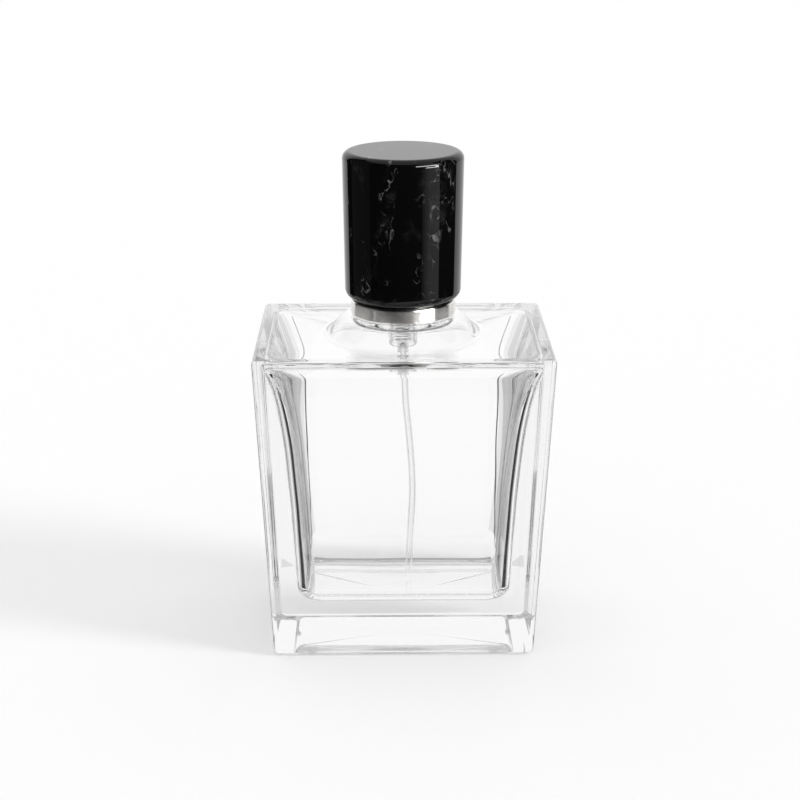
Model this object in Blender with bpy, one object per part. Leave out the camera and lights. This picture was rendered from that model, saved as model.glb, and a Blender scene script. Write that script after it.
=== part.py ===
"""An aftershave bottle: thick glass with a crimped spray pump, a metal collar and a round pull-off cap.

Run with: blender --background --python part.py
Metres, +Z up. The origin is the centre of the base, on the surface that the bottle stands on.
The front, where the nozzle points, is -Y. Heights are stacked upwards from the base, and
radii are stacked outwards from the glass neck, so each piece follows the one it fits.
"""

import math

import bmesh
import bpy
from mathutils import Vector

MM = 0.001

# Clearances
SEAT_GAP = 0.3 * MM  # between faces that rest on each other
FIT_GAP = 0.1 * MM  # radial, between pieces that are pressed or glued together
RUN_GAP = 0.08 * MM  # radial, between pieces that slide or turn
STOP_GAP = 0.1 * MM  # between a moving piece and the face that stops it

# Glass bottle, outside
SHOULDER_WIDTH = 70.0 * MM
SHOULDER_DEPTH = 51.6 * MM
BASE_WIDTH = 63.4 * MM
BASE_DEPTH = 40.6 * MM
BOTTLE_HEIGHT = 77.0 * MM  # base to shoulder
UPRIGHT_EDGE_RADIUS = 1.4 * MM
SHOULDER_EDGE_RADIUS = 1.0 * MM
BASE_EDGE_RADIUS = 1.6 * MM
BEARING_WIDTH = 3.0 * MM  # the flat rim that the bottle stands on
PUNT_DEPTH = 1.3 * MM  # hollow under the base, inside the rim
PUNT_SLOPE = 1.5 * MM  # width of the sloping edge of that hollow

# Glass bottle, inside
FLOOR_THICKNESS = 12.6 * MM
CEILING_THICKNESS = 2.0 * MM
SIDE_WALL = 6.3 * MM
FRONT_WALL = 6.5 * MM
RIM_WALL = 1.6 * MM  # where the cavity flares out under the shoulder
FLARE_HEIGHT = 11.0 * MM  # how quickly it flares
CAVITY_CORNER_RADIUS = 5.0 * MM
CAVITY_FLOOR_RADIUS = 4.5 * MM
CAVITY_CEILING_RADIUS = 2.6 * MM
THROAT_FLARE_RADIUS = 3.2 * MM  # where the bore opens into the cavity

# Glass neck, a crimp finish
NECK_ROOT_RADIUS = 19.6 * MM  # where the swept root meets the shoulder
NECK_SEAT_RADIUS = 12.4 * MM  # the flat under the collar
NECK_ROOT_HEIGHT = 4.8 * MM
NECK_SWEEP_INSET = 0.8 * MM  # how much narrower the same sweep is inside
THROAT_RADIUS = 6.6 * MM
THROAT_HEIGHT = 4.3 * MM
BEAD_RADIUS = 7.5 * MM
BEAD_HEIGHT = 3.4 * MM
BEAD_EDGE_RADIUS = 0.6 * MM
BORE_RADIUS = 4.8 * MM

# Ferrule, the aluminium cap that is crimped under the glass bead
SHEET = 0.45 * MM
FERRULE_BEND = 0.8 * MM

# Pump
NECK_GASKET_THICKNESS = 0.8 * MM
HOUSING_FLANGE_THICKNESS = 1.2 * MM
HOUSING_FLANGE_RADIUS = 6.9 * MM
HOUSING_PLUG_GAP = 0.35 * MM  # radial, between the housing's head and the glass bore
HOUSING_WALL = 0.8 * MM
HOUSING_ROUND_HEIGHT = 2.6 * MM  # the rounded bottom
PUMP_BORE_RADIUS = 2.6 * MM
SEAL_LEDGE_WIDTH = 0.4 * MM  # the step round the pump bore that carries the seal
SEAL_THICKNESS = 0.7 * MM
SEAL_DEPTH = 2.2 * MM  # the seal's top below the housing's top face
CHAMBER_LENGTH = 14.6 * MM  # from the seal's ledge down to the chamber's floor
TAIL_LENGTH = 4.6 * MM
TAIL_WALL = 0.5 * MM
TURRET_FLANGE_THICKNESS = 1.0 * MM
TURRET_FLANGE_RADIUS = 6.2 * MM
CHIMNEY_WALL = 1.1 * MM
CHIMNEY_HEIGHT = 1.5 * MM  # above the ferrule
STROKE = 4.5 * MM

# Stem, valve pin and piston
STEM_RADIUS = 1.55 * MM
STEM_BORE_RADIUS = 0.55 * MM
STEM_FLANGE_RADIUS = 2.3 * MM
STEM_FLANGE_THICKNESS = 0.8 * MM
SPIGOT_WALL = 0.5 * MM
SPIGOT_LENGTH = 1.3 * MM
STEM_SOCKET_DEPTH = 3.5 * MM  # how far the stem enters the actuator
OUTLET_SPRING_SPACE = 2.1 * MM
PISTON_LENGTH = 2.4 * MM
PISTON_WAIST = 0.35 * MM  # how far the middle is below the two lips
PISTON_LAG = 0.3 * MM  # how far liquid pressure lifts the piston off the pin at full stroke
PIN_HEAD_RADIUS = 1.9 * MM
PIN_HEAD_THICKNESS = 0.8 * MM
PIN_SHANK_RADIUS = 0.9 * MM
PIN_BORE_RADIUS = 0.45 * MM
PIN_PORT_RADIUS = 0.25 * MM
PIN_GRIP = 2.2 * MM  # how far the pin enters the stem

# Inlet valve
BALL_RADIUS = 0.9 * MM
BALL_TRAVEL = 0.6 * MM
BALL_CAGE_GAP = 0.12 * MM
BALL_LIP_RADIUS = 0.75 * MM
BALL_LIP_HEIGHT = 0.4 * MM
INLET_RADIUS = 0.45 * MM
INLET_LENGTH = 0.7 * MM

# Springs
RETURN_WIRE = 0.4 * MM
RETURN_MEAN_RADIUS = 1.75 * MM
RETURN_TURNS = 6
OUTLET_WIRE = 0.3 * MM
OUTLET_TURNS = 3

# Dip tube
TUBE_RADIUS = 0.8 * MM
TUBE_WALL = 0.3 * MM
TUBE_SOCKET_DEPTH = 4.0 * MM
TUBE_FOOT_CLEARANCE = 1.5 * MM
TUBE_BOW = 1.5 * MM  # sideways at half height, from the curl that the tube keeps
TUBE_DRIFT = 1.5 * MM  # sideways at the foot
TUBE_LEAN = 1.5 * MM  # backwards at the foot

# Collar
COLLAR_LINER_WALL = 0.8 * MM
COLLAR_FOOT_HEIGHT = 1.9 * MM  # of the liner's foot, which fills the band
COLLAR_BAND_HEIGHT = 3.3 * MM
COLLAR_SET_IN = 1.35 * MM  # the band's radius is this much below the cap's
COLLAR_ABOVE_FERRULE = 1.2 * MM
COLLAR_LIP = 1.0 * MM  # turned in over the ferrule
COLLAR_EDGE_RADIUS = 0.4 * MM

# Actuator
ACTUATOR_RADIUS = 6.7 * MM
ACTUATOR_HEIGHT = 10.5 * MM
ACTUATOR_WALL = 1.1 * MM
ACTUATOR_SKIRT = 5.4 * MM
ACTUATOR_DISH = 0.35 * MM  # the finger hollow on top
BOSS_WALL = 1.3 * MM
DUCT_RADIUS = 0.45 * MM
NOZZLE_RADIUS = 1.8 * MM
NOZZLE_LENGTH = 2.4 * MM
NOZZLE_HEIGHT = 7.6 * MM  # above the actuator's lower edge
NOZZLE_CHAMBER_RADIUS = 0.8 * MM
NOZZLE_CHAMBER_LENGTH = 1.2 * MM
ORIFICE_RADIUS = 0.2 * MM
NOZZLE_DISH_RADIUS = 0.9 * MM
NOZZLE_DISH_DEPTH = 0.5 * MM

# Cap
CAP_LINER_WALL = 1.2 * MM
CAP_LINER_UPPER_WALL = 0.9 * MM  # above the grip
CAP_GRIP_HEIGHT = 8.5 * MM
CAP_SHELL_WALL = 3.0 * MM  # at the foot
CAP_DRAFT = 0.45 * MM  # the top's radius is this much above the foot's
CAP_TOP_THICKNESS = 2.2 * MM
CAP_WEIGHT_THICKNESS = 2.0 * MM
CAP_HEADROOM = 4.6 * MM
CAP_TOP_EDGE_RADIUS = 1.8 * MM
CAP_FOOT_EDGE_RADIUS = 2.3 * MM

# How finely round shapes are cut
CORNER_STEPS = 4
SWEEP_STEPS = 6
LARGE_STEPS = 36
MEDIUM_STEPS = 24
SMALL_STEPS = 16
WIRE_SIDES = 6
COIL_STEPS = 12
TUBE_SIDES = 10
TUBE_STEPS = 18

# Heights that several pieces share, upwards from the base
CEILING_Z = BOTTLE_HEIGHT - CEILING_THICKNESS
NECK_ROOT_Z = BOTTLE_HEIGHT + NECK_ROOT_HEIGHT
BEAD_Z = NECK_ROOT_Z + THROAT_HEIGHT
NECK_TOP_Z = BEAD_Z + BEAD_HEIGHT
NECK_GASKET_Z = NECK_TOP_Z + SEAT_GAP
HOUSING_FLANGE_Z = NECK_GASKET_Z + NECK_GASKET_THICKNESS + SEAT_GAP
HOUSING_TOP_Z = HOUSING_FLANGE_Z + HOUSING_FLANGE_THICKNESS
TURRET_FLANGE_Z = HOUSING_TOP_Z + SEAT_GAP
FERRULE_PANEL_Z = TURRET_FLANGE_Z + TURRET_FLANGE_THICKNESS + SEAT_GAP
FERRULE_TOP_Z = FERRULE_PANEL_Z + SHEET
CHIMNEY_TOP_Z = FERRULE_TOP_Z + CHIMNEY_HEIGHT
COLLAR_Z = NECK_ROOT_Z + SEAT_GAP
COLLAR_STEP_Z = COLLAR_Z + COLLAR_BAND_HEIGHT
COLLAR_TOP_Z = FERRULE_TOP_Z + COLLAR_ABOVE_FERRULE
ACTUATOR_Z = FERRULE_TOP_Z + SEAT_GAP + STROKE
BOSS_Z = CHIMNEY_TOP_Z + SEAT_GAP + STROKE
STEM_TOP_Z = BOSS_Z + STEM_SOCKET_DEPTH
ACTUATOR_TOP_Z = ACTUATOR_Z + ACTUATOR_HEIGHT
SHELL_TOP_Z = ACTUATOR_TOP_Z + SEAT_GAP + SHEET
NOZZLE_Z = ACTUATOR_Z + NOZZLE_HEIGHT
CAP_Z = COLLAR_STEP_Z + SEAT_GAP
CAP_CEILING_Z = SHELL_TOP_Z + CAP_HEADROOM
CAP_WEIGHT_Z = CAP_CEILING_Z + CAP_LINER_WALL + SEAT_GAP
CAP_HOLLOW_TOP_Z = CAP_WEIGHT_Z + CAP_WEIGHT_THICKNESS + SEAT_GAP
CAP_TOP_Z = CAP_HOLLOW_TOP_Z + CAP_TOP_THICKNESS

# Heights inside the pump, downwards from the housing's top face
SEAL_TOP_Z = HOUSING_TOP_Z - SEAL_DEPTH
SEAL_Z = SEAL_TOP_Z - SEAL_THICKNESS
SEAL_LEDGE_Z = SEAL_Z - FIT_GAP
STEM_FLANGE_TOP_Z = SEAL_LEDGE_Z - STOP_GAP
STEM_FLANGE_Z = STEM_FLANGE_TOP_Z - STEM_FLANGE_THICKNESS
PISTON_TOP_Z = STEM_FLANGE_Z - OUTLET_SPRING_SPACE
PISTON_Z = PISTON_TOP_Z - PISTON_LENGTH
PIN_HEAD_TOP_Z = PISTON_Z - STOP_GAP
PIN_HEAD_Z = PIN_HEAD_TOP_Z - PIN_HEAD_THICKNESS
PIN_TOP_Z = STEM_FLANGE_Z - SPIGOT_LENGTH + PIN_GRIP
CHAMBER_FLOOR_Z = SEAL_LEDGE_Z - CHAMBER_LENGTH

# The ball rests in a cone with 45 degree sides, under a lip that keeps it in its cage
BALL_CAGE_RADIUS = BALL_RADIUS + BALL_CAGE_GAP
BALL_LIP_Z = CHAMBER_FLOOR_Z - BALL_LIP_HEIGHT
BALL_LIP_REACH = math.sqrt(max(BALL_RADIUS**2 - BALL_LIP_RADIUS**2, 0.0))
BALL_Z = BALL_LIP_Z - STOP_GAP - BALL_LIP_REACH - BALL_TRAVEL
BALL_CONE_TIP_Z = BALL_Z - (BALL_RADIUS + STOP_GAP) * math.sqrt(2)
BALL_SEAT_Z = BALL_CONE_TIP_Z + INLET_RADIUS
BALL_CAGE_Z = BALL_CONE_TIP_Z + BALL_CAGE_RADIUS
TUBE_TOP_Z = BALL_SEAT_Z - INLET_LENGTH - SEAT_GAP
TAIL_Z = TUBE_TOP_Z - TUBE_SOCKET_DEPTH
TAIL_TOP_Z = TAIL_Z + TAIL_LENGTH
TUBE_FOOT_Z = FLOOR_THICKNESS + TUBE_FOOT_CLEARANCE

# Radii that several pieces share, outwards from the axis
NECK_SWEEP_LIMIT = SHOULDER_DEPTH / 2 - RIM_WALL - CAVITY_CEILING_RADIUS
NECK_SWEEP_RADIUS = min(NECK_ROOT_RADIUS, NECK_SWEEP_LIMIT)
GUIDE_RADIUS = STEM_RADIUS + RUN_GAP
CHIMNEY_RADIUS = GUIDE_RADIUS + CHIMNEY_WALL
BOSS_RADIUS = GUIDE_RADIUS + BOSS_WALL
SEAL_RADIUS = PUMP_BORE_RADIUS + SEAL_LEDGE_WIDTH
SEAL_LEDGE_RADIUS = SEAL_RADIUS + FIT_GAP
HOUSING_PLUG_RADIUS = BORE_RADIUS - HOUSING_PLUG_GAP
HOUSING_RADIUS = PUMP_BORE_RADIUS + HOUSING_WALL
TAIL_BORE_RADIUS = TUBE_RADIUS + FIT_GAP
TAIL_RADIUS = TAIL_BORE_RADIUS + TAIL_WALL
PIN_SOCKET_RADIUS = PIN_SHANK_RADIUS + FIT_GAP
SPIGOT_RADIUS = PIN_SOCKET_RADIUS + SPIGOT_WALL
OUTLET_MEAN_RADIUS = SPIGOT_RADIUS + FIT_GAP + OUTLET_WIRE / 2
PISTON_RADIUS = PUMP_BORE_RADIUS - RUN_GAP
FERRULE_INNER = BEAD_RADIUS + FIT_GAP
FERRULE_OUTER = FERRULE_INNER + SHEET
COLLAR_LINER_INNER = FERRULE_OUTER + FIT_GAP
COLLAR_LINER_OUTER = COLLAR_LINER_INNER + COLLAR_LINER_WALL
SLEEVE_INNER = COLLAR_LINER_OUTER + FIT_GAP
SLEEVE_OUTER = SLEEVE_INNER + SHEET
SHELL_INNER = ACTUATOR_RADIUS + FIT_GAP
SHELL_OUTER = SHELL_INNER + SHEET
CAP_GRIP_RADIUS = SLEEVE_OUTER + RUN_GAP
CAP_LINER_OUTER = CAP_GRIP_RADIUS + CAP_LINER_WALL
CAP_HOLLOW_RADIUS = CAP_LINER_OUTER + FIT_GAP
CAP_FOOT_RADIUS = CAP_HOLLOW_RADIUS + CAP_SHELL_WALL
CAP_TOP_RADIUS = CAP_FOOT_RADIUS + CAP_DRAFT
BAND_RADIUS = CAP_FOOT_RADIUS - COLLAR_SET_IN
BAND_INNER = BAND_RADIUS - SHEET


def clear_scene():
    for obj in list(bpy.data.objects):
        bpy.data.objects.remove(obj, do_unlink=True)


def material(name, colour, roughness, metallic=0.0, transmission=0.0):
    made = bpy.data.materials.new(name)
    made.use_nodes = True
    shader = made.node_tree.nodes["Principled BSDF"]
    shader.inputs["Base Color"].default_value = (*colour, 1.0)
    shader.inputs["Roughness"].default_value = roughness
    shader.inputs["Metallic"].default_value = metallic
    shader.inputs["Transmission Weight"].default_value = transmission
    return made


def group(name):
    """An empty on the bottle's axis, which the pieces that move together are parented to."""
    empty = bpy.data.objects.new(name, None)
    empty.empty_display_size = 5 * MM
    bpy.context.scene.collection.objects.link(empty)
    return empty


def object_from(bm, name, colour, parent):
    """Makes a named object with outward normals and smooth round faces."""
    bmesh.ops.recalc_face_normals(bm, faces=bm.faces)
    mesh = bpy.data.meshes.new(name)
    bm.to_mesh(mesh)
    bm.free()
    mesh.shade_smooth()
    mesh.set_sharp_from_angle(angle=math.radians(35))
    obj = bpy.data.objects.new(name, mesh)
    obj.parent = parent
    bpy.context.scene.collection.objects.link(obj)
    obj.data.materials.append(colour)
    return obj


def arc(centre, radius, start, end, steps):
    """Points (r, z) on an arc, with angles in degrees from +R towards +Z, both ends included."""
    points = []
    for i in range(steps + 1):
        angle = math.radians(start + (end - start) * i / steps)
        points.append((centre[0] + radius * math.cos(angle), centre[1] + radius * math.sin(angle)))
    return points


def turned(name, profile, colour, parent, steps=MEDIUM_STEPS):
    """Spins an outline of (r, z) points round Z.

    An outline that starts and ends on the axis makes a solid. Any other outline is joined
    back to its start and makes a ring.
    """
    bm = bmesh.new()
    verts = [bm.verts.new((r, 0.0, z)) for r, z in profile]
    edges = [bm.edges.new(pair) for pair in zip(verts, verts[1:])]
    if profile[0][0] > 0.0 or profile[-1][0] > 0.0:
        edges.append(bm.edges.new((verts[-1], verts[0])))
    bmesh.ops.spin(
        bm,
        geom=verts + edges,
        cent=(0, 0, 0),
        axis=(0, 0, 1),
        angle=math.tau,
        steps=steps,
        use_merge=True,
    )
    bmesh.ops.remove_doubles(bm, verts=bm.verts, dist=0.001 * MM)
    return object_from(bm, name, colour, parent)


def bridge(bm, rings):
    """Joins each ring of vertices to the next with a band of quads."""
    for ring, following in zip(rings, rings[1:]):
        for j in range(len(ring)):
            k = (j + 1) % len(ring)
            bm.faces.new((ring[j], ring[k], following[k], following[j]))


def ring_along(bm, path, radius, sides):
    """Rings of vertices round each point of a path, square to its direction."""
    rings = []
    for i, point in enumerate(path):
        before = path[max(i - 1, 0)]
        after = path[min(i + 1, len(path) - 1)]
        along = (after - before).normalized()
        level = Vector((0, 1, 0)) if abs(along.z) > 0.9 else Vector((0, 0, 1))
        side = along.cross(level).normalized()
        up = side.cross(along)
        ring = []
        for j in range(sides):
            angle = math.tau * j / sides
            ring.append(bm.verts.new(point + radius * (math.cos(angle) * side + math.sin(angle) * up)))
        rings.append(ring)
    return rings


def coil(name, mean_radius, low_z, high_z, wire, turns, colour, parent):
    """A compression spring between two heights, with half a flat turn at each end."""
    low, high = low_z + wire / 2, high_z - wire / 2
    flat_share = 0.5 / turns
    path = []
    for i in range(turns * COIL_STEPS + 1):
        share = i / (turns * COIL_STEPS)
        climb = min(max((share - flat_share) / (1 - 2 * flat_share), 0.0), 1.0)
        angle = math.tau * turns * share
        x, y = mean_radius * math.cos(angle), mean_radius * math.sin(angle)
        path.append(Vector((x, y, low + (high - low) * climb)))
    bm = bmesh.new()
    rings = ring_along(bm, path, wire / 2, WIRE_SIDES)
    bridge(bm, rings)
    bm.faces.new(rings[0])
    bm.faces.new(rings[-1])
    return object_from(bm, name, colour, parent)


def rod_cutter(name, start, end, radius, colour, steps=SMALL_STEPS):
    """A round cutter between two points."""
    start, end = Vector(start), Vector(end)
    bm = bmesh.new()
    bmesh.ops.create_cone(
        bm,
        cap_ends=True,
        segments=steps,
        radius1=radius,
        radius2=radius,
        depth=(end - start).length,
    )
    turn = (end - start).to_track_quat("Z", "Y").to_matrix()
    bmesh.ops.rotate(bm, cent=(0, 0, 0), matrix=turn, verts=bm.verts)
    bmesh.ops.translate(bm, vec=(start + end) / 2, verts=bm.verts)
    cutter = object_from(bm, name, colour, None)
    cutter.hide_render = True
    cutter.display_type = "WIRE"
    return cutter


def cut(obj, cutter):
    modifier = obj.modifiers.new(cutter.name, "BOOLEAN")
    modifier.operation = "DIFFERENCE"
    modifier.solver = "EXACT"
    modifier.object = cutter


# Glass bottle


def rounded_loop(half_width, half_depth, radius, z):
    """A rounded rectangle as a loop of points, from the middle of the right side."""
    corner = arc((half_width - radius, half_depth - radius), radius, 0, 90, CORNER_STEPS)
    right = [(half_width, 0.0), (half_width, corner[0][1] / 2)]
    quarter = right + corner + [(corner[-1][0] / 2, half_depth)]
    half = quarter + [(0.0, half_depth)] + [(-x, y) for x, y in reversed(quarter[1:])]
    return [(x, y, z) for x, y in half] + [(-x, -y, z) for x, y in half]


def round_loop(radius, z):
    """A circle with one point for each point of a rounded rectangle."""
    count = len(rounded_loop(2.0, 2.0, 1.0, 0.0))
    angles = [math.tau * i / count for i in range(count)]
    return [(radius * math.cos(a), radius * math.sin(a), z) for a in angles]


def outer_loop(z, inset=0.0):
    """The outside at height z, or a smaller copy of it."""
    share = z / BOTTLE_HEIGHT
    half_width = (BASE_WIDTH + (SHOULDER_WIDTH - BASE_WIDTH) * share) / 2
    half_depth = (BASE_DEPTH + (SHOULDER_DEPTH - BASE_DEPTH) * share) / 2
    radius = max(UPRIGHT_EDGE_RADIUS - inset / 2, UPRIGHT_EDGE_RADIUS / 2)
    return rounded_loop(half_width - inset, half_depth - inset, radius, z)


def cavity_loop(z, inset=0.0):
    """The cavity at height z: its walls thin out towards the ceiling along a flare."""
    share = z / BOTTLE_HEIGHT
    flare = math.exp((z - CEILING_Z) / FLARE_HEIGHT)
    side_wall = SIDE_WALL + (RIM_WALL - SIDE_WALL) * flare
    front_wall = FRONT_WALL + (RIM_WALL - FRONT_WALL) * flare
    half_width = (BASE_WIDTH + (SHOULDER_WIDTH - BASE_WIDTH) * share) / 2 - side_wall - inset
    half_depth = (BASE_DEPTH + (SHOULDER_DEPTH - BASE_DEPTH) * share) / 2 - front_wall - inset
    radius = max(CAVITY_CORNER_RADIUS - inset / 2, CAVITY_CORNER_RADIUS / 2)
    return rounded_loop(half_width, half_depth, radius, z)


def neck_sweep(inset, foot_z):
    """Points (r, z) of the root of the neck, an S from the shoulder or the ceiling up to the flat."""
    points = []
    for i in range(SWEEP_STEPS + 1):
        share = i / SWEEP_STEPS
        r = NECK_SWEEP_RADIUS + (NECK_SEAT_RADIUS - NECK_SWEEP_RADIUS) * share
        points.append((r - inset, foot_z + NECK_ROOT_HEIGHT * share**2 * (3 - 2 * share)))
    return points


def outside_loops():
    """From the middle of the base, up the outside, to the top of the neck."""
    rim = BASE_EDGE_RADIUS + BEARING_WIDTH
    punt = [(x, y, PUNT_DEPTH) for x, y, z in outer_loop(0.0, rim + PUNT_SLOPE)]
    loops = [punt, outer_loop(0.0, rim)]
    edge = BASE_EDGE_RADIUS
    loops += [outer_loop(z, inset) for inset, z in arc((edge, edge), edge, 270, 180, 3)]
    edge = SHOULDER_EDGE_RADIUS
    shoulder = arc((edge, BOTTLE_HEIGHT - edge), edge, 180, 90, 3)
    loops += [outer_loop(z, inset) for inset, z in shoulder]
    loops += [round_loop(r, z) for r, z in neck_sweep(0.0, BOTTLE_HEIGHT)]
    loops += [round_loop(THROAT_RADIUS, NECK_ROOT_Z), round_loop(THROAT_RADIUS, BEAD_Z)]
    edge = BEAD_EDGE_RADIUS
    lower = arc((BEAD_RADIUS - edge, BEAD_Z + edge), edge, 270, 360, 2)
    upper = arc((BEAD_RADIUS - edge, NECK_TOP_Z - edge), edge, 0, 90, 2)
    loops += [round_loop(r, z) for r, z in lower + upper]
    return loops


def inside_loops():
    """From the top of the neck, down the bore and the cavity, to the middle of the floor."""
    edge = BEAD_EDGE_RADIUS
    lip = arc((BORE_RADIUS + edge, NECK_TOP_Z - edge), edge, 90, 180, 2)
    edge = THROAT_FLARE_RADIUS
    throat = arc((BORE_RADIUS + edge, CEILING_Z + NECK_ROOT_HEIGHT + edge), edge, 180, 270, 5)
    sweep = neck_sweep(NECK_SWEEP_INSET, CEILING_Z)
    loops = [round_loop(r, z) for r, z in lip + throat + sweep[::-1]]
    edge = CAVITY_CEILING_RADIUS
    top_z = CEILING_Z - edge
    loops += [cavity_loop(z, inset) for inset, z in arc((edge, top_z), edge, 90, 180, 3)]
    edge = CAVITY_FLOOR_RADIUS
    foot_z = FLOOR_THICKNESS + edge
    for share in (0.1, 0.2, 0.3, 0.45, 0.7):
        loops.append(cavity_loop(top_z + (foot_z - top_z) * share))
    loops += [cavity_loop(z, inset) for inset, z in arc((edge, foot_z), edge, 180, 270, 4)]
    return loops


def glass_bottle(glass, parent):
    bm = bmesh.new()
    loops = outside_loops() + inside_loops()
    rings = [[bm.verts.new(point) for point in loop] for loop in loops]
    bridge(bm, rings)
    bm.faces.new(rings[0])
    bm.faces.new(rings[-1])
    object_from(bm, "glass_bottle", glass, parent)


# Closure


def neck_gasket(colour, parent):
    inner = HOUSING_PLUG_RADIUS + FIT_GAP
    top = NECK_GASKET_Z + NECK_GASKET_THICKNESS
    profile = [(inner, NECK_GASKET_Z), (BEAD_RADIUS, NECK_GASKET_Z), (BEAD_RADIUS, top), (inner, top)]
    turned("neck_gasket", profile, colour, parent)


def crimp_ferrule(colour, parent):
    """Sheet metal over the neck, with its lower edge turned in under the glass bead."""
    hole = CHIMNEY_RADIUS + FIT_GAP
    lip = THROAT_RADIUS + SEAT_GAP
    lip_top = BEAD_Z - SEAT_GAP
    lip_z = lip_top - SHEET
    bend = (FERRULE_OUTER - FERRULE_BEND, FERRULE_TOP_Z - FERRULE_BEND)
    profile = [(hole, FERRULE_PANEL_Z), (hole, FERRULE_TOP_Z)]
    profile += arc(bend, FERRULE_BEND, 90, 0, 3)
    profile += arc((FERRULE_OUTER - SHEET, lip_top), SHEET, 0, -90, 2)
    profile += [(lip, lip_z), (lip, lip_top), (FERRULE_INNER, lip_top)]
    profile += arc(bend, FERRULE_BEND - SHEET, 0, 90, 2)
    turned("crimp_ferrule", profile, colour, parent, LARGE_STEPS)


def collar_liner(colour, parent):
    foot = BAND_INNER - FIT_GAP
    foot_z = COLLAR_Z + FIT_GAP
    foot_top = foot_z + COLLAR_FOOT_HEIGHT
    top = FERRULE_TOP_Z - SEAT_GAP
    profile = [(COLLAR_LINER_INNER, foot_z), (foot, foot_z), (foot, foot_top)]
    profile += [(COLLAR_LINER_OUTER, foot_top), (COLLAR_LINER_OUTER, top), (COLLAR_LINER_INNER, top)]
    turned("collar_liner", profile, colour, parent, LARGE_STEPS)


def collar_ring(colour, parent):
    """Polished band under the cap, and a narrower sleeve that the cap slides onto."""
    edge = COLLAR_EDGE_RADIUS
    lip = SLEEVE_INNER - COLLAR_LIP
    under_step = COLLAR_STEP_Z - SHEET
    under_top = COLLAR_TOP_Z - SHEET
    profile = [(BAND_INNER, COLLAR_Z), (BAND_RADIUS, COLLAR_Z)]
    profile += arc((BAND_RADIUS - edge, COLLAR_STEP_Z - edge), edge, 0, 90, 3)
    profile.append((SLEEVE_OUTER, COLLAR_STEP_Z))
    profile += arc((SLEEVE_OUTER - edge, COLLAR_TOP_Z - edge), edge, 0, 90, 3)
    profile += [(lip, COLLAR_TOP_Z), (lip, under_top), (SLEEVE_INNER, under_top)]
    profile += [(SLEEVE_INNER, under_step), (BAND_INNER, under_step)]
    turned("collar_ring", profile, colour, parent, LARGE_STEPS)


def turret(colour, parent):
    """Closes the housing, holds the stem seal down and guides the stem."""
    plug = SEAL_RADIUS
    foot = SEAL_TOP_Z + FIT_GAP
    flange_top = TURRET_FLANGE_Z + TURRET_FLANGE_THICKNESS
    profile = [(GUIDE_RADIUS, foot), (plug, foot), (plug, TURRET_FLANGE_Z)]
    profile += [(TURRET_FLANGE_RADIUS, TURRET_FLANGE_Z), (TURRET_FLANGE_RADIUS, flange_top)]
    profile += [(CHIMNEY_RADIUS, flange_top), (CHIMNEY_RADIUS, CHIMNEY_TOP_Z)]
    profile.append((GUIDE_RADIUS, CHIMNEY_TOP_Z))
    turned("turret", profile, colour, parent)


def pump_housing(colour, parent):
    """Cylinder of the pump, with the ball's cage in its rounded bottom and a tail for the tube."""
    rise = HOUSING_RADIUS - TAIL_RADIUS
    head_z = SEAL_LEDGE_Z - HOUSING_WALL
    head_slope = HOUSING_PLUG_RADIUS - HOUSING_RADIUS
    profile = [(TAIL_BORE_RADIUS, TAIL_Z), (TAIL_RADIUS, TAIL_Z)]
    for across, up in arc((0.0, 1.0), 1.0, -90, 0, 5):
        profile.append((TAIL_RADIUS + rise * across, TAIL_TOP_Z + HOUSING_ROUND_HEIGHT * up))
    profile += [(HOUSING_RADIUS, head_z - head_slope), (HOUSING_PLUG_RADIUS, head_z)]
    profile += [(HOUSING_PLUG_RADIUS, HOUSING_FLANGE_Z), (HOUSING_FLANGE_RADIUS, HOUSING_FLANGE_Z)]
    profile += [(HOUSING_FLANGE_RADIUS, HOUSING_TOP_Z), (SEAL_LEDGE_RADIUS, HOUSING_TOP_Z)]
    profile += [(SEAL_LEDGE_RADIUS, SEAL_LEDGE_Z), (PUMP_BORE_RADIUS, SEAL_LEDGE_Z)]
    profile += [(PUMP_BORE_RADIUS, CHAMBER_FLOOR_Z), (BALL_LIP_RADIUS, CHAMBER_FLOOR_Z)]
    profile += [(BALL_LIP_RADIUS, BALL_LIP_Z), (BALL_CAGE_RADIUS, BALL_LIP_Z)]
    profile += [(BALL_CAGE_RADIUS, BALL_CAGE_Z), (INLET_RADIUS, BALL_SEAT_Z)]
    profile += [(INLET_RADIUS, TUBE_TOP_Z + SEAT_GAP), (TAIL_BORE_RADIUS, TUBE_TOP_Z + SEAT_GAP)]
    turned("pump_housing", profile, colour, parent)


def stem_seal(colour, parent):
    profile = [(GUIDE_RADIUS, SEAL_Z), (SEAL_RADIUS, SEAL_Z)]
    profile += [(SEAL_RADIUS, SEAL_TOP_Z), (GUIDE_RADIUS, SEAL_TOP_Z)]
    turned("stem_seal", profile, colour, parent)


def tube_path():
    """From inside the housing's tail, straight down at first, then bowed to one side."""
    path = []
    for i in range(TUBE_STEPS + 1):
        share = i / TUBE_STEPS
        z = TUBE_TOP_Z + (TUBE_FOOT_Z - TUBE_TOP_Z) * share
        below_tail = max((TAIL_Z - z) / (TAIL_Z - TUBE_FOOT_Z), 0.0)
        ease = below_tail**2 * (3 - 2 * below_tail)
        bow = math.sin(math.pi * below_tail) ** 2
        path.append(Vector((TUBE_DRIFT * ease + TUBE_BOW * bow, TUBE_LEAN * ease, z)))
    return path


def dip_tube(colour, parent):
    bm = bmesh.new()
    path = tube_path()
    outside = ring_along(bm, path, TUBE_RADIUS, TUBE_SIDES)
    inside = ring_along(bm, path, TUBE_RADIUS - TUBE_WALL, TUBE_SIDES)
    bridge(bm, outside + inside[::-1] + outside[:1])
    object_from(bm, "dip_tube", colour, parent)


# Pieces that move with the stem


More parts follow.
